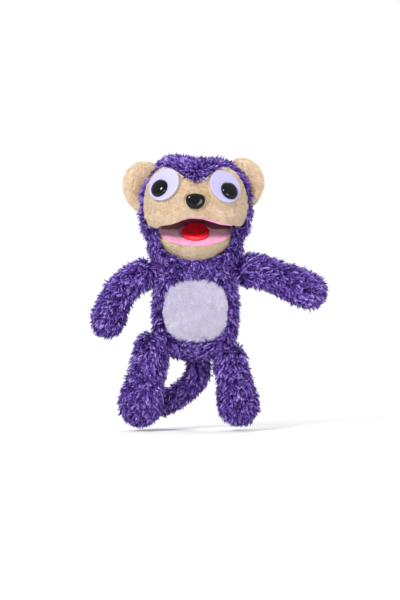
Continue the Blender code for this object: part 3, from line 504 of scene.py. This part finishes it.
hood = skin_from("hood_backing", ["hood_fur"], 1.8 * MM, 6, PURPLE_BACKING)
torso = skin_from("body_backing", ["body_fur"], 1.8 * MM, 6, PURPLE_BACKING)
face = skin_from("face_backing", ["face_panel"], 1.2 * MM, 24, BEIGE_BACKING)
chin = skin_from("chin_backing", ["chin_panel", "chin_pad"], 1.2 * MM, 12, BEIGE_BACKING)
belly = skin_from("belly_backing", ["belly_panel"], 1.2 * MM, 10, WHITE_BACKING)
ears = {side: skin_from(f"ear_{side}_backing", [f"ear_{side}"], 1.8 * MM, 5, BEIGE_BACKING)
        for side, _ in SIDES}

# Each limb's skin is its stuffing core, grown out to about the sleeve's outer face.
SLEEVE_REACH = {
    "arm_left": 4.2 * MM, "arm_right": 5.4 * MM,
    "leg_left": 5.0 * MM, "leg_right": 4.2 * MM,
    "tail": 4.0 * MM,
}
limbs = {}
for limb, reach in SLEEVE_REACH.items():
    limbs[limb] = skin_from(f"{limb}_backing", [f"{limb}_core"], 3.5 * MM, 2, PURPLE_BACKING)
    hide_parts(f"{limb}_sleeve")
    grow(limbs[limb], reach)
pads = {side: skin_from(f"side_pad_{side}_fibre", [f"side_pad_{side}"], 1.5 * MM, 2, FIBRE)
        for side, _ in SIDES}
inflate([*limbs.values(), *ears.values()])
for obj in limbs.values():
    refine(obj)


def push(points, centre, spread, shift, where=1):
    """Move the points near a place, given in x and z, by a shift in mm that fades out over a spread in mm."""
    weight = bump_at(points, centre[0], centre[1], spread[0] * MM, spread[1] * MM) * where
    points += weight[:, None] * np.array(shift) * MM


def sculpt_face():
    """Puffed cheeks, a bell-shaped upper lip that is higher at the right, and corners under the hood."""
    points = coordinates(face.data)
    lip_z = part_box("face_panel")[0].z
    front = points[:, 1] < HEAD_CENTRE.y
    for side, lip_drop, lobe_rise in ((-1, 3.8, 0.4), (1, 1.4, 3.2)):
        cheek = (side * 35 * MM, lip_z + 10 * MM)
        slope = (side * 23 * MM, lip_z + 5 * MM)
        lobe = (side * 47 * MM, lip_z)
        corner = (side * 62 * MM, lip_z)
        push(points, cheek, (17, 12), (0, -4.0, 0), front)
        push(points, slope, (11, 8), (0, 0, -lip_drop), front)
        push(points, lobe, (13, 8), (0, 0, lobe_rise), front)
        push(points, corner, (10, 11), (-6 * side, 3, 4), front)
    under_nose = (0, NOSE_CENTRE.z - 10 * MM)
    nose_bridge = (0, NOSE_CENTRE.z + 15 * MM)
    push(points, under_nose, (22, 11), (0, -1.5, 0), front)
    push(points, nose_bridge, (9, 9), (0, 1.5, 0), front)
    set_coordinates(face.data, points)


def sculpt_hood():
    """A flatter crown with a corner at the left, drawn in above the right eye, and a fuller neck."""
    points = coordinates(hood.data)
    top, neck = HOOD_HIGH.z, HOOD_LOW.z
    push(points, (-56 * MM, top - 15 * MM), (15, 12), (7, 0, 0))
    push(points, (54 * MM, top - 8 * MM), (14, 10), (-3, 0, 0))
    push(points, (-26 * MM, top), (12, 16), (0, 0, 3.5))
    push(points, (8 * MM, top), (14, 14), (0, 0, -1.5))
    push(points, (-46 * MM, neck + 10 * MM), (14, 14), (-3, 0, 0))
    push(points, (46 * MM, neck + 6 * MM), (14, 12), (4, 0, 0))
    set_coordinates(hood.data, points)


def sculpt_chin():
    """A fuller chin, lowest in the middle."""
    points = coordinates(chin.data)
    low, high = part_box("chin_panel")
    share = np.clip((high.z - points[:, 2]) / (high.z - low.z), 0, 1)
    points[:, 2] -= share * bump_at(points, 0, low.z, 30 * MM, 40 * MM) * 3.2 * MM
    points[:, 1] -= share * (1 - share) * 4 * MM
    set_coordinates(chin.data, points)


def sculpt_ears():
    """Each ear's front is hollow inside a rolled rim."""
    for side, sign in SIDES:
        points = coordinates(ears[side].data)
        centre = middle(f"ear_{side}")
        hollow = bump_at(points, centre.x - sign * 4 * MM, centre.z - 3 * MM, 13 * MM, 17 * MM)
        front = np.clip((centre.y + 3 * MM - points[:, 1]) / (6 * MM), 0, 1)
        points[:, 1] += hollow * front * 5 * MM
        points[:, 1] -= front * 1.5 * MM
        set_coordinates(ears[side].data, points)


def sculpt_limbs():
    """The thighs lean inward and the right shoulder is full on top."""
    for limb, x, z, spread, shift in (("leg_left", -50, -58, (40, 22), (3.5, 0, 0)),
                                      ("leg_right", 40, -55, (40, 22), (-2.5, 0, 0)),
                                      ("arm_right", 64, 52, (22, 30), (0, 0, 4.5))):
        points = coordinates(limbs[limb].data)
        push(points, (x * MM, z * MM), spread, shift)
        set_coordinates(limbs[limb].data, points)


sculpt_hood()
sculpt_chin()
sculpt_ears()
sculpt_limbs()
sculpt_face()
for obj in (hood, torso, face):
    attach(obj, "frame")
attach(chin, "jaw")
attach(belly, "paddle")
for obj in (*ears.values(), *pads.values()):
    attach(obj, "frame")
for limb, obj in limbs.items():
    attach(obj, limb)


# ---------------------------------------------------------------- eyes, nose and tongue
def flat_axis(node, towards):
    """The direction across a flat CAD node, pointing to one side."""
    points = coordinates(frame["nodes"][node].data)
    axis = Vector(np.linalg.svd(points - points.mean(0), full_matrices=False)[2][2])
    return axis if axis.dot(Vector(towards)) > 0 else -axis


ROUND_SIDES = 72


def ringed(name, rings, material):
    """A closed surface through equal rings of points, closed by a point at each end."""
    count = len(rings[0])
    first_middle, last_middle = (sum(ring, Vector()) / count for ring in (rings[0], rings[-1]))
    verts = [first_middle, *(point for ring in rings for point in ring), last_middle]
    faces = [(0, 1 + (k + 1) % count, 1 + k) for k in range(count)]
    faces += grid_faces(len(rings), count, start=1, closed=True)
    last = 1 + (len(rings) - 1) * count
    faces += [(last + k, last + (k + 1) % count, len(verts) - 1) for k in range(count)]
    mesh = mesh_from(name, verts, faces)
    bm = bmesh.new()
    bm.from_mesh(mesh)
    bmesh.ops.recalc_face_normals(bm, faces=bm.faces)
    bm.to_mesh(mesh)
    bm.free()
    return put(name, mesh, material)


def turned(name, centre, axis, profile, material):
    """A solid of revolution from (radius, height) points along its axis."""
    across = axis.orthogonal().normalized()
    other = axis.cross(across)
    turns = [2 * pi * k / ROUND_SIDES for k in range(ROUND_SIDES)]
    rings = []
    for radius, height in profile:
        rings.append([centre + axis * height + (across * cos(t) + other * sin(t)) * radius for t in turns])
    return ringed(name, rings, material)


def round_place(node, axis):
    """The middle of a round CAD node's outline, its radius, and its lowest and highest reach on its axis."""
    points = coordinates(frame["nodes"][node].data)
    across = np.array(axis.orthogonal().normalized())
    other = np.cross(axis, across)
    along = points @ np.array(axis)
    spans = [points @ way for way in (across, other)]
    middles = [(span.min() + span.max()) / 2 for span in spans]
    radius = (spans[0].max() - spans[0].min()) / 2
    base = Vector(across * middles[0] + other * middles[1])
    return base, radius, along.min(), along.max()


def quarter_arc(steps):
    """The cosine and sine at equal steps over a quarter turn."""
    return [(cos(pi / 2 * i / steps), sin(pi / 2 * i / steps)) for i in range(steps + 1)]


def stand_for(obj, node, body):
    """Let a piece replace one CAD node and ride on its body."""
    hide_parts(node)
    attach(obj, body)


def build_eye_disc(side, axis):
    """A flat disc with a rounded front edge and a chamfered back edge."""
    base, radius, _, top = round_place(f"eye_disc_{side}", axis)
    back, chamfer, edge = top - 2.6 * MM, 0.6 * MM, 0.9 * MM
    profile = [(radius - chamfer, back), (radius, back + chamfer)]
    profile += [(radius - edge + edge * out, top - edge + edge * up) for out, up in quarter_arc(8)]
    profile += [(radius * 0.7, top), (radius * 0.3, top)]
    disc = turned(f"eye_{side}_disc", base, axis, profile, WHITE_PLASTIC)
    stand_for(disc, f"eye_disc_{side}", "frame")


def build_pupil(side, axis):
    """A dome on a short chamfered foot."""
    base, radius, low, top = round_place(f"pupil_{side}", axis)
    foot = 0.6 * MM
    profile = [(radius - 0.5 * MM, low), (radius, low + 0.4 * MM)]
    profile += [(radius * out, low + foot + (top - low - foot) * up) for out, up in quarter_arc(16)[1:-1]]
    pupil = turned(f"eye_{side}_pupil", base, axis, profile, BLACK_PLASTIC)
    stand_for(pupil, f"pupil_{side}", "frame")


EYE_AXES = {side: flat_axis(f"pupil_{side}", (0, -1, 0)) for side, _ in SIDES}
for side, axis in EYE_AXES.items():
    build_eye_disc(side, axis)
    build_pupil(side, axis)


def build_nose():
    """A glossy nose: wide and flat on top, narrow below, domed in front and flat behind."""
    low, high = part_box("nose")
    half_x, half_z = 11.6 * MM, (high.z - low.z) / 2 * 0.94
    middle_z = (low.z + high.z) / 2 - 1.2 * MM
    dome, back = 4.6 * MM, 5.5 * MM
    steps, sides = 16, 64
    rings = []
    for i in range(1, steps + 1):
        polar = pi / 2 * i / steps
        reach = sin(polar) ** 0.72
        depth = dome * (1 - cos(polar)) ** 1.5
        ring = []
        for k in range(sides):
            x, z = cos(2 * pi * k / sides), sin(2 * pi * k / sides)
            x = abs(x) ** 0.88 * (1 if x > 0 else -1) * (0.92 + 0.12 * z)
            z = abs(z) ** 0.92 * (1 if z > 0 else -1)
            ring.append(Vector((x * half_x * reach, low.y + depth, middle_z + z * half_z * reach)))
        rings.append(ring)
    rings.append([p + Vector((0, back, 0)) for p in rings[-1]])
    stand_for(ringed("nose_button", rings, BLACK_PLASTIC), "nose", "frame")


build_nose()

JAW_PIVOT = Vector(JOINTS["jaw_hinge"]["pos_m"])
JAW_UP = flat_axis("jaw_lining", (0, 0, 1))
JAW_FORWARD = Vector((1, 0, 0)).cross(JAW_UP)
FELT = 1.2 * MM
FELT_TOP = max((Vector(p) - JAW_PIVOT).dot(JAW_UP) for p in coordinates(frame["nodes"]["jaw_lining"].data))


def on_jaw(x, forward, up):
    """A point in the jaw board's own directions, measured from the jaw pin."""
    return JAW_PIVOT + Vector((x, 0, 0)) + JAW_FORWARD * forward + JAW_UP * up


def build_tongue():
    """A moulded tongue: an egg outline with a raised rim round a shallow dish, narrower and higher behind."""
    half_width, front_reach, rear_reach = 15.8 * MM, 21.5 * MM, 25.0 * MM
    middle_forward, gap = 38.0 * MM, 0.2 * MM
    rear_change = 0.22
    # How far out each ring lies, as a share of the outline, and its height in mm.
    profile = [(1.00, 0.1), (1.00, 1.6), (0.99, 2.9), (0.965, 3.9), (0.92, 4.6), (0.87, 4.8), (0.82, 4.6),
               (0.76, 4.2), (0.68, 3.8), (0.55, 3.6), (0.38, 3.5), (0.20, 3.5), (0.06, 3.5)]
    rings = []
    for scale, height in profile:
        ring = []
        for k in range(ROUND_SIDES):
            turn = 2 * pi * k / ROUND_SIDES
            rear = max(-cos(turn), 0)
            reach = (rear_reach if rear else front_reach) * cos(turn)
            wide = half_width * sin(turn) * (1 - rear_change * rear)
            up = FELT_TOP + gap + height * MM * (1 + rear_change * rear)
            ring.append(on_jaw(wide * scale, middle_forward + reach * scale, up))
        rings.append(ring)
    stand_for(ringed("mouth_tongue", rings, RED_PLASTIC), "tongue", "jaw")


build_tongue()


# ---------------------------------------------------------------- felt in the mouth
def sheet_piece(name, rows, thickness, material):
    """A sheet of cloth through rows of points, with its real flat size and area."""
    rows = np.array([[tuple(p) for p in row] for row in rows])
    faces = grid_faces(*rows.shape[:2])
    across = np.linalg.norm(np.diff(rows, axis=1), axis=2).sum(1).max()
    along = np.linalg.norm(np.diff(rows, axis=0), axis=2).sum(0).max()
    obj = put(name, mesh_from(name, rows.reshape(-1, 3), faces), material)
    area = sum(face.area for face in obj.data.polygons)
    thicken(obj, thickness)
    rim = obj.modifiers.new("rim", "BEVEL")
    rim.width = thickness * 0.3
    rim.segments = 2
    rim.limit_method = "ANGLE"
    rim.angle_limit = radians(50)
    apply_modifiers(obj)
    return obj, (float(across), float(along)), float(area)


FACE_TREE = BVHTree.FromObject(face, bpy.context.evaluated_depsgraph_get())
LIP_SEARCH = (85 * MM, 122 * MM)
LIP_HALF = 41 * MM
LIP_STEPS = 60


def face_hit(x, z):
    """Where a line from the front first meets the face, or None."""
    return FACE_TREE.ray_cast(Vector((x, -0.3, z)), Vector((0, 1, 0)))[0]


def lip_point(x):
    """The lowest point of the face panel's front above the mouth, at x."""
    low, high = LIP_SEARCH
    for _ in range(14):
        z = (low + high) / 2
        hit = face_hit(x, z)
        if hit is not None and hit.y < HEAD_CENTRE.y:
            high = z
        else:
            low = z
    return Vector((x, face_hit(x, high + 0.5 * MM).y, high))


LIPS = [lip_point(-LIP_HALF + 2 * LIP_HALF * i / LIP_STEPS) for i in range(LIP_STEPS + 1)]
PALATE_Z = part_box("palate_lining")[0].z


def lip_rows(steps):
    """Rows of points along the lip, which shows less towards its corners.

    Each step gives a row's setback and height from the lip, and how far it is drawn to the palate's height.
    """
    rows = []
    for back, up, level in steps:
        row = []
        for lip in LIPS:
            share = abs(lip.x) / LIP_HALF
            fade = (1 - 0.7 * share ** 4) * (1.1 + 0.9 * lip.x / LIP_HALF)
            z = (lip.z + up * (fade if up < 0 else 1)) * (1 - level) + (PALATE_Z - 0.5 * MM) * level
            row.append(Vector((lip.x * (1 - 0.12 * level), lip.y + back, z)))
        rows.append(row)
    return rows


def build_lip_edging():
    """The pink strip that wraps the lip's edge, from the face round to the inside."""
    steps = [(3.4, 2.0, 0), (2.0, 0.9, 0), (1.5, -0.2, 0), (1.5, -0.9, 0), (2.0, -1.6, 0), (3.0, -1.9, 0),
             (4.4, -1.6, 0.1), (6.5, -0.8, 0.3)]
    rows = lip_rows([(back * MM, up * MM, level) for back, up, level in steps])
    edging, flat, area = sheet_piece("upper_lip_felt", rows, FELT, PINK_FELT)
    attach(edging, "frame")


def build_palate_felt():
    """The mouth's roof, from the lip's edging back to the jaw pin, dipping just behind the lip."""
    row_count, depth = 15, 46 * MM
    rearmost, highest = JAW_PIVOT.y - 5.6 * MM, PALATE_Z - 0.6 * MM
    steps = []
    for i in range(row_count):
        share = i / (row_count - 1)
        dip = -2.4 * MM * sin(pi * min(share * 3.2, 1)) - 0.8 * MM * (1 - share)
        steps.append((4.5 * MM + depth * share, dip, min(share * 2.2, 1)))
    rows = lip_rows(steps)
    for row in rows:
        for p in row:
            p.y = min(p.y, rearmost)
            p.z = min(p.z, highest)
    palate, flat, area = sheet_piece("palate_felt", rows, FELT, MAROON_FELT)
    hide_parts("palate_lining")
    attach(palate, "frame")


def build_mouth_back():
    """The cloth at the back of the mouth, which hangs in folds and lies forward over the jaw's felt.

    Its hem lies further forward at the sides than behind the tongue.
    """
    row_count, column_count, half_width = 11, 81, 41 * MM
    hang_share, foot_forward, hem_forward, tongue_clearance = 0.7, 10.8 * MM, 23.5 * MM, 10.9 * MM
    lift = FELT_TOP + 0.6 * MM
    rows = []
    for i in range(row_count):
        share = i / (row_count - 1)
        row = []
        for k in range(column_count):
            x = -half_width + 2 * half_width * k / (column_count - 1)
            fold = 0.8 * MM * sin(x / (2.1 * MM)) + 0.5 * MM * sin(x / (5 * MM) + 1)
            behind_tongue = exp(-(x / (17 * MM)) ** 6)
            top = Vector((x, JAW_PIVOT.y - 6.4 * MM, PALATE_Z - 0.8 * MM))
            foot = on_jaw(x, foot_forward, lift)
            hem = on_jaw(x, hem_forward - tongue_clearance * behind_tongue, lift)
            if share < hang_share:
                place = top.lerp(foot, share / hang_share)
            else:
                place = foot.lerp(hem, (share - hang_share) / (1 - hang_share))
            belly_out = (fold + 1.6 * MM) * sin(pi * min(share / hang_share, 1))
            row.append(place - Vector((0, belly_out, 0)))
        rows.append(row)
    curtain, flat, area = sheet_piece("mouth_back_felt", rows, 0.8 * MM, MAROON_FELT)
    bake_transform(curtain)


def jaw_half_width(forward):
    """Half the width of the jaw's felt at a distance in front of the jaw pin."""
    straight, front_reach, half = 31.5 * MM, 34.0 * MM, 40.8 * MM
    if forward < straight:
        return half
    return half * max(1 - ((forward - straight) / front_reach) ** 2, 0) ** 0.5


def build_jaw_felt():
    """The pink sheet over the jaw board, a little curled at its sides and rolled down at its front edge."""
    row_steps, half_columns = 28, 24
    rear, depth, board_reach = 6.5 * MM, 58.8 * MM, 57 * MM
    droop_rate = 40  # per metre
    rows = []
    for i in range(row_steps + 1):
        reach = rear + depth * sin(pi / 2 * i / row_steps)
        half = jaw_half_width(reach)
        row = []
        for k in range(2 * half_columns + 1):
            across = sin(pi / 2 * (k / half_columns - 1))
            x = half * across
            curl = 1.6 * MM * abs(across) ** 6 * (1 - i / row_steps)
            ripple = 0.25 * MM * sin(x / (6 * MM)) * cos(reach / (7 * MM))
            droop = droop_rate * max(Vector((x, reach)).length - board_reach, 0) ** 2
            row.append(on_jaw(x, reach, FELT_TOP - FELT / 2 + (curl + ripple) - droop))
        rows.append(row)
    felt, flat, area = sheet_piece("jaw_felt", rows, FELT, PINK_FELT)
    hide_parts("jaw_lining")
    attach(felt, "jaw")


build_lip_edging()
build_palate_felt()
build_mouth_back()
build_jaw_felt()


# ---------------------------------------------------------------- throat
THROAT_ROWS = 19
THROAT_COLUMNS = 61


def build_throat(top, foot):
    """The neck's front, between the chin and the body."""
    half_width, half_depth, most_bulge = 36 * MM, 21 * MM, 4 * MM
    first_turn, whole_turn = -205, 230
    rows = []
    for i in range(THROAT_ROWS):
        share = i / (THROAT_ROWS - 1)
        z = top + (foot - top) * share
        bulge = sin(pi * share) * most_bulge
        for k in range(THROAT_COLUMNS):
            turn = radians(first_turn + whole_turn * k / (THROAT_COLUMNS - 1))
            x = (half_width + bulge) * cos(turn)
            y = (half_depth + bulge) * sin(turn)
            rows.append(Vector((x, TORSO_CENTRE.y + y, z)))
    throat = put("throat_backing", mesh_from("throat", rows, grid_faces(THROAT_ROWS, THROAT_COLUMNS)))
    thicken(throat, 1.5 * MM)
    apply_modifiers(throat)
    paint(throat, PURPLE_BACKING)
    return throat


THROAT_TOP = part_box("chin_panel")[0].z + 5 * MM
THROAT_FOOT = THROAT_TOP - 27 * MM
THROAT_CENTRE = Vector((0, TORSO_CENTRE.y, (THROAT_TOP + THROAT_FOOT) / 2))
throat = build_throat(THROAT_TOP, THROAT_FOOT)
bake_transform(throat)


# ---------------------------------------------------------------- pile on every skin
MOUTH = Vector((0, HOOD_LOW.y, JAW_PIVOT.z - 12 * MM))
BELLY = middle("belly_panel")


def hood_comb(points, normals):
    """Out from the forehead's whorl and down the sides, then in towards the chin below the mouth."""
    flow = away_from(WHORL, 0.30)(points, normals)
    from_whorl = np.linalg.norm(points - np.array(WHORL), axis=1)
    swirl = np.cross(normals, flow) * np.exp(-from_whorl / (9 * MM))[:, None]
    below = np.clip((JAW_PIVOT.z + 2 * MM - points[:, 2]) / (14 * MM), 0, 1)
    below *= np.clip((HEAD_CENTRE.y - points[:, 1]) / (12 * MM), 0, 1)
    inward = unit(np.array(MOUTH) - points) * np.array([1.0, 0.4, 0.0]) + np.array([0, -0.4, -0.6])
    return flow + swirl * 1.5 + (inward * 1.4 - flow) * below[:, None]


def on_chin_rim(points, normals):
    """True on the cut edge of the hood's opening for the chin."""
    low_front = (points[:, 1] < HEAD_CENTRE.y - 2 * MM) & (points[:, 2] < JAW_PIVOT.z - 4 * MM)
    return low_front & (normals[:, 1] < 0.2)


def hood_keep(points, normals):
    return outside(HEAD_CENTRE, -0.25)(points, normals) | on_chin_rim(points, normals)


def hood_trim(points, normals):
    """The pile is short where it grows from the cut edge towards the chin."""
    inner = on_chin_rim(points, normals) & ~outside(HEAD_CENTRE, 0.1)(points, normals)
    return np.where(inner, 0.5, 1.0)


def torso_comb(points, normals):
    """Down the back, and in towards the belly's edge in front."""
    front = np.clip((TORSO_CENTRE.y - points[:, 1]) / (10 * MM), 0, 1)[:, None]
    inward = unit((np.array(BELLY) - points) * np.array([1, 0, 1]))
    return np.array([0, 0, -0.8]) + inward * front * 0.9


def face_tone(points):
    """The face is warmer round the nose."""
    return -1.2 * bump_at(points, 0, NOSE_CENTRE.z + 6 * MM, 26 * MM, 16 * MM)


def under_the_board(points, normals):
    """Keeps the chin's outer points that lie clear below the jaw's felt."""
    depth = (points - np.array(JAW_PIVOT)) @ np.array(JAW_UP)
    return outside(middle("chin_panel"), 0.0)(points, normals) & (depth < -2.2 * MM)


def ear_tone_with_hollow_shade(side):
    """An ear is darker in its hollow: painted shade."""
    centre = middle(f"ear_{side}")

    def tone(points):
        hollow = bump_at(points, centre.x * 0.96, centre.z - 3 * MM, 11 * MM, 15 * MM)
        # Painted shade: darker shades on the front of the hollow, and a little lighter elsewhere.
        return 0.6 - hollow * 2.4 * (points[:, 1] < centre.y + 2 * MM)
    return tone


EYE_SPACES = []
for side, axis in EYE_AXES.items():
    eye_base, eye_radius, _, _ = round_place(f"eye_disc_{side}", axis)
    EYE_SPACES.append((eye_base, axis, eye_radius - 0.6 * MM))
NOSE_SPACES = [(NOSE_CENTRE + Vector((x * MM, 0, -0.8 * MM)), Vector((0, 1, 0)), 7.6 * MM)
               for x in (-4.2, 4.2)]

pile("hood_pile", hood, "frame", LONG_PILE, PURPLE_SHADES, hood_comb, 11,
     keep=hood_keep, avoid=EYE_SPACES, trim=hood_trim)
pile("body_pile", torso, "frame", LONG_PILE, PURPLE_SHADES, torso_comb, 12,
     keep=outside(TORSO_CENTRE, -0.25))
for number, limb in enumerate(limbs):
    joint = Vector(JOINTS[f"{limb}_swing"]["pos_m"])
    pile(f"{limb}_pile", limbs[limb], limb, LONG_PILE, PURPLE_SHADES, away_from(joint, 0.2), 20 + number)
pile("face_pile", face, "frame", SHORT_PILE, BEIGE_SHADES, away_from(NOSE_CENTRE, 0.3), 31,
     keep=outside(HEAD_CENTRE, -0.3), tone=face_tone, avoid=[*EYE_SPACES, *NOSE_SPACES])
pile("chin_pile", chin, "jaw", SHORT_PILE, BEIGE_SHADES, falling, 32,
     keep=under_the_board)
pile("belly_pile", belly, "paddle", SHORT_PILE, WHITE_SHADES, falling, 33,
     keep=outside(TORSO_CENTRE, 0.1))
for number, (side, ear) in enumerate(ears.items()):
    ear_comb = away_from(middle(f"ear_{side}"), 0.1)
    pile(f"ear_{side}_pile", ear, "frame", SHORT_PILE, BEIGE_SHADES, ear_comb, 34 + number,
         tone=ear_tone_with_hollow_shade(side))
throat_comb = away_from((0, -20 * MM, 100 * MM), 0.6)
for piece in pile("throat_pile", throat, None, LONG_PILE, PURPLE_SHADES, throat_comb, 41,
                  keep=outside(THROAT_CENTRE, 0.3)):
    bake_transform(piece)


# ---------------------------------------------------------------- carried-over nodes
CARRIED = {
    "red_plastic": RED_PLASTIC, "white_plastic": WHITE_PLASTIC, "black_plastic": BLACK_PLASTIC,
    "grey_plastic": GREY_PLASTIC, "steel": STEEL, "pink_felt": PINK_FELT, "maroon_felt": MAROON_FELT,
    "stuffing": FIBRE, "foam": FIBRE,
}
for row in frame["record"]["subparts"]:
    if row["material_slot"] in CARRIED:
        paint(frame["nodes"][row["node"]], CARRIED[row["material_slot"]])


# ---------------------------------------------------------------- stage, light and camera
AIM = Vector((5 * MM, -40 * MM, 20 * MM))
VIEW_HEIGHT = 0.666
DISTANCE = 3.0


def area_light(name, place, size, power):
    """A round white area light that faces the aim."""
    data = bpy.data.lights.new(name, "AREA")
    data.shape = "DISK"
    data.size = size
    data.energy = power
    obj = bpy.data.objects.new(name, data)
    bpy.context.scene.collection.objects.link(obj)
    obj.location = place
    obj.rotation_euler = (AIM - Vector(place)).to_track_quat("-Z", "Y").to_euler()


def build_stage():
    """A wide round pale floor that the lowest pile just touches."""
    floor_z, radius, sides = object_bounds()[0].z - 0.2 * MM, 1.5, 96
    turns = [2 * pi * k / sides for k in range(sides)]
    rim = [(radius * cos(turn), radius * sin(turn), floor_z) for turn in turns]
    white = mottled("floor_paint", (0.86, 0.86, 0.865), (0.85, 0.85, 0.855), 0.9, 2)
    put("floor", mesh_from("floor", rim, [range(sides)], smooth=False), white)


def build_world():
    """White to the camera, and a softer white light on the object."""
    world = bpy.data.worlds.new("studio")
    world.use_nodes = True
    nodes, links = world.node_tree.nodes, world.node_tree.links
    background = nodes["Background"]
    background.inputs["Color"].default_value = (1, 1, 1, 1)
    seen = nodes.new("ShaderNodeLightPath")
    strength = nodes.new("ShaderNodeMapRange")
    strength.inputs["To Min"].default_value = 0.78
    strength.inputs["To Max"].default_value = 1.05
    links.new(seen.outputs["Is Camera Ray"], strength.inputs["Value"])
    links.new(strength.outputs["Result"], background.inputs["Strength"])
    bpy.context.scene.world = world


def build_camera():
    """A level camera straight in front, far enough away for a nearly flat view."""
    data = bpy.data.cameras.new("camera")
    data.sensor_width = 36
    data.lens = data.sensor_width * DISTANCE / VIEW_HEIGHT
    data.clip_end = 20
    camera = bpy.data.objects.new("camera", data)
    bpy.context.scene.collection.objects.link(camera)
    camera.location = AIM + Vector((0, -DISTANCE, 0))
    camera.rotation_euler = (pi / 2, 0, 0)
    bpy.context.scene.camera = camera


build_world()
build_stage()
build_camera()
area_light("key", (-1.2, -2.0, 1.4), 0.7, 66)
area_light("fill", (0.7, -2.2, -0.2), 1.2, 38)
area_light("rim", (0.2, 1.0, 1.4), 0.8, 12)
bpy.context.scene.view_settings.view_transform = "Standard"
